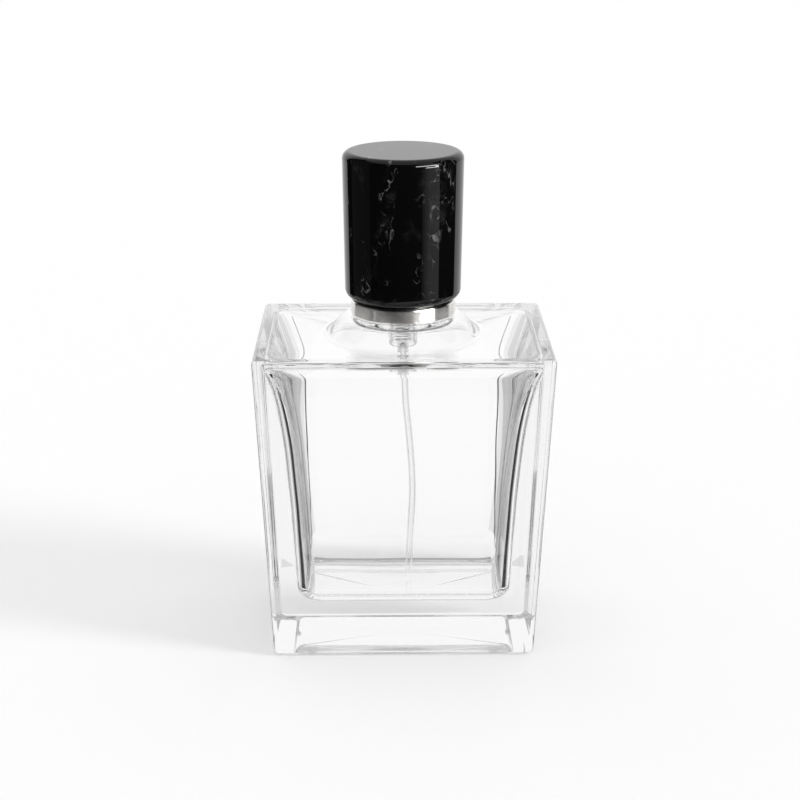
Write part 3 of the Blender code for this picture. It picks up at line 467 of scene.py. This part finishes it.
def outsideRows(profile):
    # profile holds (inset, z): the body tapers evenly from the shoulder to the base
    inset, z = profile.T
    halfWidth, halfDepth = bodyHalves(z)
    edge = glassSizes["uprightEdge"]
    return rectangleRows(halfWidth - inset, halfDepth - inset, np.maximum(edge - inset / 2, edge / 2), z)


def cavityRows(profile):
    # the wall is wall + (rim - wall) * flare, with flare = exp((z - ceiling) / flareHeight)
    g, (inset, z) = glassSizes, profile.T
    halfWidth, halfDepth = bodyHalves(z)
    flare = np.exp((z - (g["height"] - g["ceiling"])) / g["flareHeight"])
    side = g["sideWall"] + (g["rimWall"] - g["sideWall"]) * flare
    front = g["frontWall"] + (g["rimWall"] - g["frontWall"]) * flare
    corner = np.maximum(g["cavityCorner"] - inset / 2, g["cavityCorner"] / 2)
    grid = rectangleRows(halfWidth - side - inset, halfDepth - front - inset, corner, z)
    # slow ripple of the blown wall: two crossed waves, none at the floor and the ceiling
    low, high = g["floor"], g["height"] - g["ceiling"]
    fade = np.clip(4 * (z - low) * (high - z) / (high - low) ** 2, 0, 1)[:, None]
    around = np.arctan2(grid[..., 1], grid[..., 0])
    wave = np.sin(3 * around + z[:, None] / 7.3) * np.cos(z[:, None] / 4.1 + 2 * around + 0.7)
    push = 1 - g["ripple"] * fade * wave / np.hypot(grid[..., 0], grid[..., 1])
    grid[..., :2] *= push[..., None]
    return grid


def buildGlass():
    g = glassSizes
    base, neckTop = lowOf("glass_bottle"), highOf("glass_bottle")
    height, rim = g["height"], g["baseEdge"] + g["bearing"]
    punt = outsideRows(outline((rim + g["puntSlope"], base)))
    punt[..., 2] += g["puntDepth"]
    edge = g["baseEdge"]
    foot = outline((rim, base), (edge + 0.1, base), arc(edge, base + edge, edge, 270, 180, 10))
    wallLow, wallHigh = base + edge + 0.15, height - g["shoulderEdge"] - 0.15
    walls = np.stack([np.zeros(g["bodyRows"]), np.linspace(wallLow, wallHigh, g["bodyRows"])], axis=1)
    edge = g["shoulderEdge"]
    shoulder = outline(arc(edge, height - edge, edge, 180, 90, 8), (edge + 0.12, height))
    outside = outsideRows(outline(foot, walls, shoulder))
    rootZ, ceiling = height + g["rootHeight"], height - g["ceiling"]
    s = np.linspace(0, 1, g["sweepRows"])
    rise = s ** 2 * (3 - 2 * s)
    rootR = g["rootRadius"] + (g["seatRadius"] - g["rootRadius"]) * s
    root = np.stack([rootR, height + g["rootHeight"] * rise], axis=1)
    under = np.stack([rootR - g["sweepInset"], ceiling + g["rootHeight"] * rise], axis=1)[::-1]
    throat, bead, edge = g["throat"], g["bead"], g["beadEdge"]
    beadLow = rootZ + g["throatHeight"]
    seat = outline(
        (g["rootRadius"] + 0.3, height), root, (g["seatRadius"] - 0.2, rootZ),
        (throat + 0.1, rootZ), (throat, rootZ),
    )
    neck = outline(
        (throat, rootZ + 0.1), (throat, beadLow - 0.1), (throat, beadLow), (throat + 0.1, beadLow),
    )
    lip = outline(
        arc(bead - edge, beadLow + edge, edge, 270, 360, 5),
        arc(bead - edge, neckTop - edge, edge, 0, 90, 5),
        arc(g["bore"] + edge, neckTop - edge, edge, 90, 180, 5),
    )
    flare, roof = g["throatFlare"], ceiling + g["rootHeight"]
    bore = outline(arc(g["bore"] + flare, roof + flare, flare, 180, 270, 14), under)
    neckRows = circleRows(outline(seat, neck, lip, bore))
    edge, footEdge = g["cavityCeilingEdge"], g["cavityFloorEdge"]
    high, low = ceiling - edge, g["floor"] + footEdge
    rows = g["cavityWallRows"]
    walls = np.stack([np.zeros(rows), np.linspace(high, low, rows + 2)[1:-1]], axis=1)
    inside = cavityRows(outline(
        arc(edge, high, edge, 90, 180, 12), walls, arc(footEdge, low, footEdge, 180, 270, 12),
    ))
    grid = np.concatenate([punt, outside, neckRows, inside])
    place(gridPiece("glass_body", grid, finishes["glass"]), "glass_bottle", "bottle")


columnsOfLoop = loopColumns()
buildGlass()
print("glass blown")


# Closure: gasket, ferrule, liner and the bright collar

closureSizes = {
    "gasketHole": 4.55, "gasketEdge": 0.15,
    "sheet": 0.45, "ferruleBend": 0.8, "ferruleHole": 2.83, "ferruleLip": 6.9,
    "linerHole": 8.15, "linerWall": 0.8, "linerFoot": 1.9,
    "bandHeight": 3.3, "sleeveRadius": 9.5, "bandEdge": 0.4, "lip": 1.0,
}


def buildGasket():
    c, low, high = closureSizes, lowOf("neck_gasket"), highOf("neck_gasket")
    outer, edge = radiusOf("neck_gasket"), closureSizes["gasketEdge"]
    profile = outline(
        (c["gasketHole"], low), arc(outer - edge, low + edge, edge, -90, 0, 3),
        arc(outer - edge, high - edge, edge, 0, 90, 3), (c["gasketHole"], high),
    )
    place(turnedPiece("flange_gasket", profile, finishes["paleRubber"]), "neck_gasket", "bottle")


def buildFerrule():
    c, low, high = closureSizes, lowOf("crimp_ferrule"), highOf("crimp_ferrule")
    outer, sheet, bend = radiusOf("crimp_ferrule"), closureSizes["sheet"], closureSizes["ferruleBend"]
    profile = outline(
        (c["ferruleHole"], high - sheet), (c["ferruleHole"], high),
        arc(outer - bend, high - bend, bend, 90, 0, 8), arc(outer - sheet, low + sheet, sheet, 0, -90, 6),
        (c["ferruleLip"], low), (c["ferruleLip"], low + sheet), (outer - sheet, low + sheet),
        arc(outer - bend, high - bend, bend - sheet, 0, 90, 6),
    )
    made = turnedPiece("crimped_cup", profile, finishes["crimped"])
    place(made, "crimp_ferrule", "bottle")


def buildLiner():
    c, low, high = closureSizes, lowOf("collar_liner"), highOf("collar_liner")
    outer, hole, foot = radiusOf("collar_liner"), closureSizes["linerHole"], low + closureSizes["linerFoot"]
    wall = hole + c["linerWall"]
    profile = outline((hole, low), (outer, low), (outer, foot), (wall, foot), (wall, high), (hole, high))
    made = turnedPiece("collar_bush", profile, finishes["natural"])
    place(made, "collar_liner", "bottle")


def buildCollar():
    c, low, high = closureSizes, lowOf("collar_ring"), highOf("collar_ring")
    band, sleeve, edge, sheet = radiusOf("collar_ring"), c["sleeveRadius"], c["bandEdge"], c["sheet"]
    step, inner = low + c["bandHeight"], sleeve - sheet
    small = edge / 4
    profile = outline(
        (band - sheet, low), arc(band - small, low + small, small, -90, 0, 4),
        arc(band - edge, step - edge, edge, 0, 90, 8), (sleeve, step),
        arc(sleeve - edge, high - edge, edge, 0, 90, 8), (inner - c["lip"], high),
        (inner - c["lip"], high - sheet), (inner, high - sheet),
        (inner, step - sheet), (band - sheet, step - sheet),
    )
    made = turnedPiece("bright_collar", profile, finishes["bright"], 192)
    place(made, "collar_ring", "bottle")


buildGasket()
buildFerrule()
buildLiner()
buildCollar()
print("closure made")


# Pump

pumpSizes = {
    "tailBore": 0.9, "tailLength": 4.6, "tail": 1.4, "roundHeight": 2.6, "barrel": 3.4, "chamber": 2.6,
    "plug": 4.45, "wall": 0.8, "flangeThickness": 1.2,
    "sealPocket": 3.1, "lipBore": 0.75, "lipHeight": 0.4, "cage": 1.02, "inlet": 0.45,
    "chamberLength": 14.6, "seatGap": 0.3,
    "guide": 1.63, "turretPlug": 3.0, "turretFlange": 1.0, "chimney": 2.73, "chimneyHeight": 1.95,
    "stemBore": 0.55, "stem": 1.55, "flange": 0.8, "spigot": 1.5, "spigotLength": 1.3, "pinSocket": 1.0,
    "pinGrip": 2.2, "pistonBore": 0.98, "waist": 0.35,
    "returnWire": 0.4, "returnRadius": 1.75, "returnTurns": 6,
    "outletWire": 0.3, "outletRadius": 1.75, "outletTurns": 3,
    "tube": 0.8, "tubeWall": 0.3, "tubeDrift": 1.5, "tubeBow": 1.5, "tubeLean": 1.5,
}


def buildHousing():
    p, low, high = pumpSizes, lowOf("pump_housing"), highOf("pump_housing")
    flange, plug, tail, barrel = radiusOf("pump_housing"), p["plug"], p["tail"], p["barrel"]
    ledge = lowOf("stem_seal") - 0.1
    floor, headLow = ledge - p["chamberLength"], high - p["flangeThickness"]
    head = ledge - p["wall"]
    ballMiddle = (lowOf("inlet_ball") + highOf("inlet_ball")) / 2
    tip = ballMiddle - (radiusOf("inlet_ball") + 0.1) * math.sqrt(2)
    tubeTop = highOf("dip_tube") + p["seatGap"]
    a = np.radians(np.linspace(-90, 0, 15))
    bulbZ = low + p["tailLength"] + p["roundHeight"] * (1 + np.sin(a))
    bulb = np.stack([tail + (barrel - tail) * np.cos(a), bulbZ], axis=1)
    profile = outline(
        (p["tailBore"], low), (tail - 0.1, low), (tail, low + 0.1), bulb,
        (barrel, head - plug + barrel), (plug, head), (plug, headLow), (flange, headLow), (flange, high),
        (p["sealPocket"], high), (p["sealPocket"], ledge),
        (p["chamber"], ledge), (p["chamber"], floor), (p["lipBore"], floor),
        (p["lipBore"], floor - p["lipHeight"]), (p["cage"], floor - p["lipHeight"]),
        (p["cage"], tip + p["cage"]), (p["inlet"], tip + p["inlet"]),
        (p["inlet"], tubeTop), (p["tailBore"], tubeTop),
    )
    made = turnedPiece("pump_barrel", profile, finishes["clear"], 96)
    place(made, "pump_housing", "bottle")


def buildTurret():
    p, low, high = pumpSizes, lowOf("turret"), highOf("turret")
    flangeHigh = high - p["chimneyHeight"] - p["seatGap"]
    flangeLow, flange = flangeHigh - p["turretFlange"], radiusOf("turret")
    profile = outline(
        (p["guide"], low), (p["turretPlug"], low), (p["turretPlug"], flangeLow),
        (flange, flangeLow), (flange, flangeHigh), (p["chimney"], flangeHigh),
        arc(p["chimney"] - 0.2, high - 0.2, 0.2, 0, 90, 4), (p["guide"], high),
    )
    place(turnedPiece("stem_guide", profile, finishes["white"], 96), "turret", "bottle")


def buildSeal():
    low, high, outer = lowOf("stem_seal"), highOf("stem_seal"), radiusOf("stem_seal")
    hole = pumpSizes["guide"]
    profile = outline((hole, low), (outer, low), (outer, high), (hole, high))
    place(turnedPiece("wiper_seal", profile, finishes["rubber"], 96), "stem_seal", "bottle")


def buildStem():
    p, low, high = pumpSizes, lowOf("stem"), highOf("stem")
    flangeLow = low + p["spigotLength"]
    flangeHigh, flange = flangeLow + p["flange"], radiusOf("stem")
    stop = low + p["pinGrip"] + p["seatGap"]
    profile = outline(
        (p["pinSocket"], low), (p["spigot"], low), (p["spigot"], flangeLow),
        (flange, flangeLow), (flange, flangeHigh), (p["stem"], flangeHigh),
        arc(p["stem"] - 0.15, high - 0.15, 0.15, 0, 90, 4), (p["stemBore"], high),
        (p["stemBore"], stop), (p["pinSocket"], stop),
    )
    place(turnedPiece("hollow_stem", profile, finishes["white"], 64), "stem", "stem")


def buildPiston():
    p, low, high, outer = pumpSizes, lowOf("piston"), highOf("piston"), radiusOf("piston")
    lip, waist = (high - low) / 4, outer - p["waist"]
    profile = outline(
        (p["pistonBore"], low), (waist, low), (outer, low + lip / 2), (waist, low + lip),
        (waist, high - lip), (outer, high - lip / 2), (waist, high), (p["pistonBore"], high),
    )
    made = turnedPiece("lip_piston", profile, finishes["natural"], 96)
    place(made, "piston", "piston")


def buildBall():
    low, high = lowOf("inlet_ball"), highOf("inlet_ball")
    profile = arc(0, (low + high) / 2, (high - low) / 2, -90, 90, 24)
    place(solidTurned("check_ball", profile, finishes["steel"], 48), "inlet_ball", "ball")


def buildSprings():
    # in the pump each coil is squashed as the button goes down: the return coil on its foot, the outlet coil
    # on its top. Here each is only hung on its body and given a mesh of its own
    p, steel = pumpSizes, finishes["steel"]
    low, high = lowOf("return_spring"), highOf("return_spring")
    made = coilPiece("return_coil", p["returnRadius"], low, high, p["returnWire"], p["returnTurns"], steel)
    place(made, "return_spring", "bottle")
    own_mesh(made)
    low, high = lowOf("outlet_spring"), highOf("outlet_spring")
    made = coilPiece("outlet_coil", p["outletRadius"], low, high, p["outletWire"], p["outletTurns"], steel)
    place(made, "outlet_spring", "stem")
    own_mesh(made)


def buildTube():
    # straight out of the tail, then bowed aside: x = drift * ease + bow * sin(pi s)^2, y = lean * ease
    p, low, high, tail = pumpSizes, lowOf("dip_tube"), highOf("dip_tube"), lowOf("pump_housing")
    z = np.linspace(high, low, 120)
    s = np.clip((tail - z) / (tail - low), 0, 1)
    ease = s ** 2 * (3 - 2 * s)
    x = p["tubeDrift"] * ease + p["tubeBow"] * np.sin(math.pi * s) ** 2
    path = np.stack([x, p["tubeLean"] * ease, z], axis=1)
    sideways = np.tile([1.0, 0.0, 0.0], (len(path), 1))
    outside = tubeGrid(path, sideways, p["tube"], 32)
    inside = tubeGrid(path, sideways, p["tube"] - p["tubeWall"], 32)
    grid = np.concatenate([outside, inside[::-1]])
    made = gridPiece("pick_up_tube", grid, finishes["tubing"], "join")
    place(made, "dip_tube", "bottle")


buildHousing()
buildTurret()
buildSeal()
buildStem()
buildPiston()
buildBall()
buildSprings()
buildTube()
refinish("valve_pin", finishes["natural"])
print("pump made")


# Button

buttonSizes = {
    "sheet": 0.45, "hole": 1.9, "dish": 0.35, "nozzleHeight": 7.6,
    "nozzle": 1.8, "swirlRadius": 0.8, "swirlDepth": 1.2, "orifice": 0.2,
    "dishRadius": 0.9, "dishDepth": 0.5,
}


def buildShell():
    # a thin cup, closed at the top by a shallow finger hollow z = top - dish * cos(pi r / 2R)
    b, outer = buttonSizes, radiusOf("actuator_shell")
    low, high = lowOf("actuator_shell"), highOf("actuator_shell")
    sheet, dish = b["sheet"], b["dish"]
    inner, roof = outer - sheet, high - sheet - dish
    r = np.linspace(inner - 0.5, 0, 16)
    hollow = np.stack([r, high - dish * np.cos(math.pi / 2 * r / (inner - 0.5))], axis=1)
    profile = outline(
        (0, roof), (inner, roof), (inner, low), (outer - 0.1, low), (outer, low + 0.1),
        arc(outer - sheet, high - sheet, sheet, 0, 90, 8), hollow,
    )
    made = solidTurned("button_cover", profile, finishes["satin"], 128)
    nozzleZ = low + b["nozzleHeight"]
    drilled(made, (0, -2 * outer, nozzleZ), (0, 0, nozzleZ), b["hole"])
    place(made, "actuator_shell", "actuator")


def buildNozzle():
    # the profile's axis is turned to face the front: (r cos a, -z, r sin a)
    b, front, back = buttonSizes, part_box("nozzle_insert")[0].y / mm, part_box("nozzle_insert")[1].y / mm
    middle = (lowOf("nozzle_insert") + highOf("nozzle_insert")) / 2
    tip = back - front
    profile = supported(outline(
        (b["swirlRadius"], 0), (b["nozzle"], 0), (b["nozzle"], tip - 0.1), (b["nozzle"] - 0.1, tip),
        (b["dishRadius"], tip), (b["orifice"], tip - b["dishDepth"]),
        (b["orifice"], b["swirlDepth"]), (b["swirlRadius"], b["swirlDepth"]),
    ), 0.06)
    a = np.arange(64) / 64 * math.tau
    r, along = profile[:, :1], profile[:, 1:]
    grid = np.stack([r * np.cos(a), back - along + 0 * a, middle + r * np.sin(a)], axis=-1)
    made = gridPiece("spray_nozzle", grid, finishes["white"], "join")
    place(made, "nozzle_insert", "actuator")


buildShell()
buildNozzle()
refinish("actuator_core", finishes["white"])
print("button made")


# Cap

capSizes = {
    "wall": 3.0, "topThickness": 2.2, "draft": 0.45, "topEdge": 1.8, "footEdge": 2.3,
    "gripRadius": 9.58, "gripChamfer": 0.3, "linerWall": 1.2, "upperWall": 0.9, "gripHeight": 8.5,
    "weightEdge": 0.2,
}


def buildCapShell():
    c, low, high, top = capSizes, lowOf("cap_shell"), highOf("cap_shell"), radiusOf("cap_shell")
    foot, hollowTop = top - c["draft"], high - c["topThickness"]
    hollow, footEdge, topEdge = foot - c["wall"], c["footEdge"], c["topEdge"]
    profile = outline(
        (0, hollowTop), (hollow, hollowTop), (hollow, low),
        arc(foot - footEdge, low + footEdge, footEdge, -90, 0, 16),
        arc(top - topEdge, high - topEdge, topEdge, 0, 90, 16), (0, high),
    )
    place(solidTurned("marbled_cap", profile, finishes["marble"], 192), "cap_shell", "cap")


def buildCapLiner():
    c, low, high, outer = capSizes, lowOf("cap_liner"), highOf("cap_liner"), radiusOf("cap_liner")
    upper, gripTop, ceiling = outer - c["upperWall"], low + c["gripHeight"], high - c["linerWall"]
    grip, chamfer = c["gripRadius"], c["gripChamfer"]
    profile = outline(
        (0, ceiling), (upper, ceiling), (upper, gripTop), (grip, gripTop), (grip, low + chamfer),
        (grip + chamfer, low), (outer, low), (outer, high), (0, high),
    )
    place(solidTurned("grip_liner", profile, finishes["black"], 128), "cap_liner", "cap")


def buildCapWeight():
    low, high, outer = lowOf("cap_weight"), highOf("cap_weight"), radiusOf("cap_weight")
    edge = capSizes["weightEdge"]
    profile = outline(
        (0, low), (outer - edge, low), (outer, low + edge),
        (outer, high - edge), (outer - edge, high), (0, high),
    )
    place(solidTurned("balance_disc", profile, finishes["steel"], 96), "cap_weight", "cap")


buildCapShell()
buildCapLiner()
buildCapWeight()
print("cap made")


# Studio: pale floor, even white surroundings, dark cards that only reflections and glass see, and a soft box.
# Lengths are metres unless a note says millimetres. Angles are degrees round the bottle, from the front to
# the right

studio = {
    "floorHalf": 12.0, "floorColour": (0.6, 0.6, 0.6), "floorRoughness": 0.7,
    "floorGlow": 0.4,                   # a light table, as glass is shown on
    "floorDrop": 0.05,                  # millimetres below the bottle's foot
    "surround": 0.78,
    "backdrop": (1.6, 1.5, 1.3), "backdropGlow": 1.02,    # how far behind, half width and height
    "cardFar": 0.62, "cardHeight": 0.9, "cardLift": 0.0004, "cardColumns": 24,
    # angles, how near the sheet comes to the bottle at each of them, and how it shines
    "sheets": {
        "left_edge": ((-130, -113), (0.05, 0.05), 0.0),
        "side_box": ((-113, -66), (0.07, 0.07), 0.07),
        "front_cloth": ((-66, 36), (0.07, 0.27), 0.0),
        "soft_box_edge": ((36, 41), (0.27, 0.27), 0.3),
        "soft_box_side": ((41, 47), (0.27, 0.27), 0.6),
        "soft_box": ((47, 72), (0.27, 0.27), 0.85),
        "right_cloth": ((72, 90), (0.27, 0.2), 0.0),
        "right_edge": ((90, 118), (0.05, 0.05), 0.0),
    },
    # strips on the floor at both sides, which only the glass shows: angles, shine and where they reach
    "glassStrips": {
        "black": ((59, 82), 0.0, (0.046, 0.32)),
        "dark": ((80, 92), 0.45, (0.046, 0.32)),
        "dim": ((112, 127), 0.55, (0.066, 0.4)),
        "pale": ((127, 145), 0.5, (0.066, 0.4)),
        "paler": ((145, 153), 0.78, (0.066, 0.4)),
    },
    # the dark fields that draw the outer edges, in millimetres: x and y of the near and far corners, width
    "outlineField": ((33.0, -20.0), (58.6, 206.0), 4.0),
    # painted shadow: a grey strip on the floor behind the base, seen only through the glass, standing in for
    # the contact shade at the back edge. In millimetres: how far behind, how deep and half its width
    "paintedBackShade": (20.4, 2.6, 27.0), "paintedBackShadeGlow": 0.25,
    # painted light: a glowing pale sheet under the base, seen only through the glass, standing in for the
    # light that reaches the floor under the bottle. In millimetres: half width, half depth and how far below
    # the foot
    "paintedUnderLight": (29.0, 18.0, 0.02), "paintedUnderLightGlow": 0.95,
    "sunPower": 1.7, "sunAim": (-0.88, 0.28, -0.4), "sunAngle": 16.0,
    # the lamps that the gloss shows: angles, and their low and high ends
    "lamps": (((24, 68), 0.27, 0.4), ((61, 68), 0.034, 0.27), ((42, 61), 0.034, 0.13)),
    "lampReach": 0.6, "lampGlow": 22.0,
}
cameraView = {"lens": 76.5, "tilt": 18.5, "turn": -0.6, "distance": 394.9, "height": 191.4, "aside": -0.72}
bounces = {"all": 24, "transmission": 24, "glossy": 16}


def glowing(name, strength, colour=(0, 0, 0), roughness=1.0):
    # a flat, dull colour that also shines white
    made, tree, shader = newFinish(name, colour, roughness)
    shader.inputs["Specular IOR Level"].default_value = 0.0
    shader.inputs["Emission Color"].default_value = (1.0, 1.0, 1.0, 1.0)
    shader.inputs["Emission Strength"].default_value = strength
    return made


def stageMesh(name, points, finish, faces=((0, 1, 2, 3),)):
    mesh = bpy.data.meshes.new(name)
    mesh.from_pydata(np.asarray(points).tolist(), [], np.asarray(faces).tolist())
    mesh.materials.append(finish)
    made = bpy.data.objects.new(name, mesh)
    bpy.context.scene.collection.objects.link(made)
    return made


def hiddenMesh(name, points, finish, glossy=True, glass=False, faces=((0, 1, 2, 3),)):
    # something for reflections or for the light through glass only: the camera and the floor don't see it
    made = stageMesh(name, points, finish, faces)
    made.visible_camera = False
    made.visible_diffuse = False
    made.visible_shadow = False
    made.visible_glossy = glossy
    made.visible_transmission = glass


def card(name, span, start, end, finish, glossy=True, glass=False):
    # a sheet swept round the bottle from one outline to another: (r sin a, -r cos a, z)
    a = np.radians(np.linspace(span[0], span[1], studio["cardColumns"]))
    share = np.linspace(0, 1, len(a))
    start, end = np.array(start)[:, :, None], np.array(end)[:, :, None]
    r, z = (start + (end - start) * share).transpose(1, 0, 2)
    points = np.stack([r * np.sin(a), -r * np.cos(a), z], axis=-1).reshape(-1, 3)
    i, j = np.meshgrid(np.arange(len(r) - 1), np.arange(len(a) - 1), indexing="ij")
    first = i * len(a) + j
    faces = np.stack([first, first + 1, first + len(a) + 1, first + len(a)], axis=-1).reshape(-1, 4)
    hiddenMesh(name, points, finish, glossy, glass, faces)


def standing(near):
    lift, far = studio["cardLift"], studio["cardFar"]
    return [(near, lift), (far, lift), (far, studio["cardHeight"])]


def buildFloor():
    paper = glowing("pale_paper", studio["floorGlow"], studio["floorColour"], studio["floorRoughness"])
    half, z = studio["floorHalf"], (lowOf("glass_bottle") - studio["floorDrop"]) * mm
    stageMesh("floor", [(-half, -half, z), (half, -half, z), (half, half, z), (-half, half, z)], paper)


def buildSheets():
    for name, (span, near, glow) in studio["sheets"].items():
        card(name, span, standing(near[0]), standing(near[1]), glowing(name + "_finish", glow))


def buildGlassSide(side, turn):
    # the strips and the dark field at one side of the bottle
    for kind, (span, glow, reach) in studio["glassStrips"].items():
        flat = [(r, 2 * studio["cardLift"]) for r in reach]
        finish = glowing(kind + "_finish", glow)
        card(f"{kind}_strip_{side}", np.array(span) * turn, flat, flat, finish, False, True)
    (x0, y0), (x1, y1), width = studio["outlineField"]
    corners = [(x0, y0), (x1, y1), (x1 + width, y1), (x0 + width, y0)]
    field = np.array([(turn * x, y, 3 * studio["cardLift"] / mm) for x, y in corners]) * mm
    hiddenMesh("outline_field_" + side, field, glowing("outline_finish", 0.0), True, True)


def buildBaseSheets():
    # painted shadow: a grey strip behind the base that only the glass shows, in place of the contact shade
    # there
    behind, deep, x = studio["paintedBackShade"]
    corners = [(-x, behind), (x, behind), (x, behind + deep), (-x, behind + deep)]
    line = np.array([(x, y, studio["cardLift"] / mm) for x, y in corners]) * mm
    hiddenMesh("painted_back_shade", line, glowing("painted_back_shade_finish", studio["paintedBackShadeGlow"]), False, True)
    # painted light: a glowing sheet under the base that only the glass shows, in place of light reaching the
    # floor there
    x, y, drop = studio["paintedUnderLight"]
    z = lowOf("glass_bottle") - drop
    sheet = np.array([(-x, -y, z), (x, -y, z), (x, y, z), (-x, y, z)]) * mm
    hiddenMesh("painted_under_light_sheet", sheet, glowing("painted_under_light", studio["paintedUnderLightGlow"]), False, True)


def buildLamps():
    for number, (span, low, high) in enumerate(studio["lamps"]):
        path = [(studio["lampReach"], low), (studio["lampReach"], high)]
        card(f"lamp_{number}", span, path, path, glowing(f"lamp_glow_{number}", studio["lampGlow"]))


def buildBackdrop():
    y, x, high = studio["backdrop"]
    wall = [(-x, y, 0), (x, y, 0), (x, y, high), (-x, y, high)]
    hiddenMesh("backdrop", wall, glowing("backdrop_glow", studio["backdropGlow"]), True, True)


def buildWorld():
    world = bpy.data.worlds.new("studio")
    bpy.context.scene.world = world
    world.use_nodes = True
    back = world.node_tree.nodes["Background"]
    back.inputs["Color"].default_value = (1.0, 1.0, 1.0, 1.0)
    back.inputs["Strength"].default_value = studio["surround"]


def buildSun():
    data = bpy.data.lights.new("window_light", "SUN")
    data.energy, data.angle = studio["sunPower"], math.radians(studio["sunAngle"])
    sun = bpy.data.objects.new("window_light", data)
    bpy.context.scene.collection.objects.link(sun)
    sun.matrix_world = Vector(studio["sunAim"]).to_track_quat("-Z", "Y").to_matrix().to_4x4()
    sun.visible_glossy = False
    sun.visible_transmission = False


def buildCamera():
    view = cameraView
    data = bpy.data.cameras.new("camera")
    data.lens = view["lens"]
    data.clip_start = 0.01
    camera = bpy.data.objects.new("camera", data)
    bpy.context.scene.collection.objects.link(camera)
    turn, tilt, distance = math.radians(view["turn"]), math.radians(view["tilt"]), view["distance"]
    right = Vector((math.cos(turn), math.sin(turn), 0))
    ahead = Vector((-math.sin(turn) * math.cos(tilt), math.cos(turn) * math.cos(tilt), -math.sin(tilt)))
    spot = Vector((math.sin(turn) * distance, -math.cos(turn) * distance, view["height"]))
    spot += right * view["aside"]
    aim = Matrix((right, right.cross(ahead), -ahead)).transposed().to_4x4()
    camera.matrix_world = Matrix.Translation(spot * mm) @ aim
    bpy.context.scene.camera = camera


buildFloor()
buildSheets()
buildGlassSide("left", -1)
buildGlassSide("right", 1)
buildBaseSheets()
buildLamps()
buildBackdrop()
buildWorld()
buildSun()
buildCamera()
scene = bpy.context.scene
scene.view_settings.view_transform = "Standard"
scene.cycles.max_bounces = bounces["all"]
scene.cycles.transmission_bounces = bounces["transmission"]
scene.cycles.glossy_bounces = bounces["glossy"]
print("studio lit")
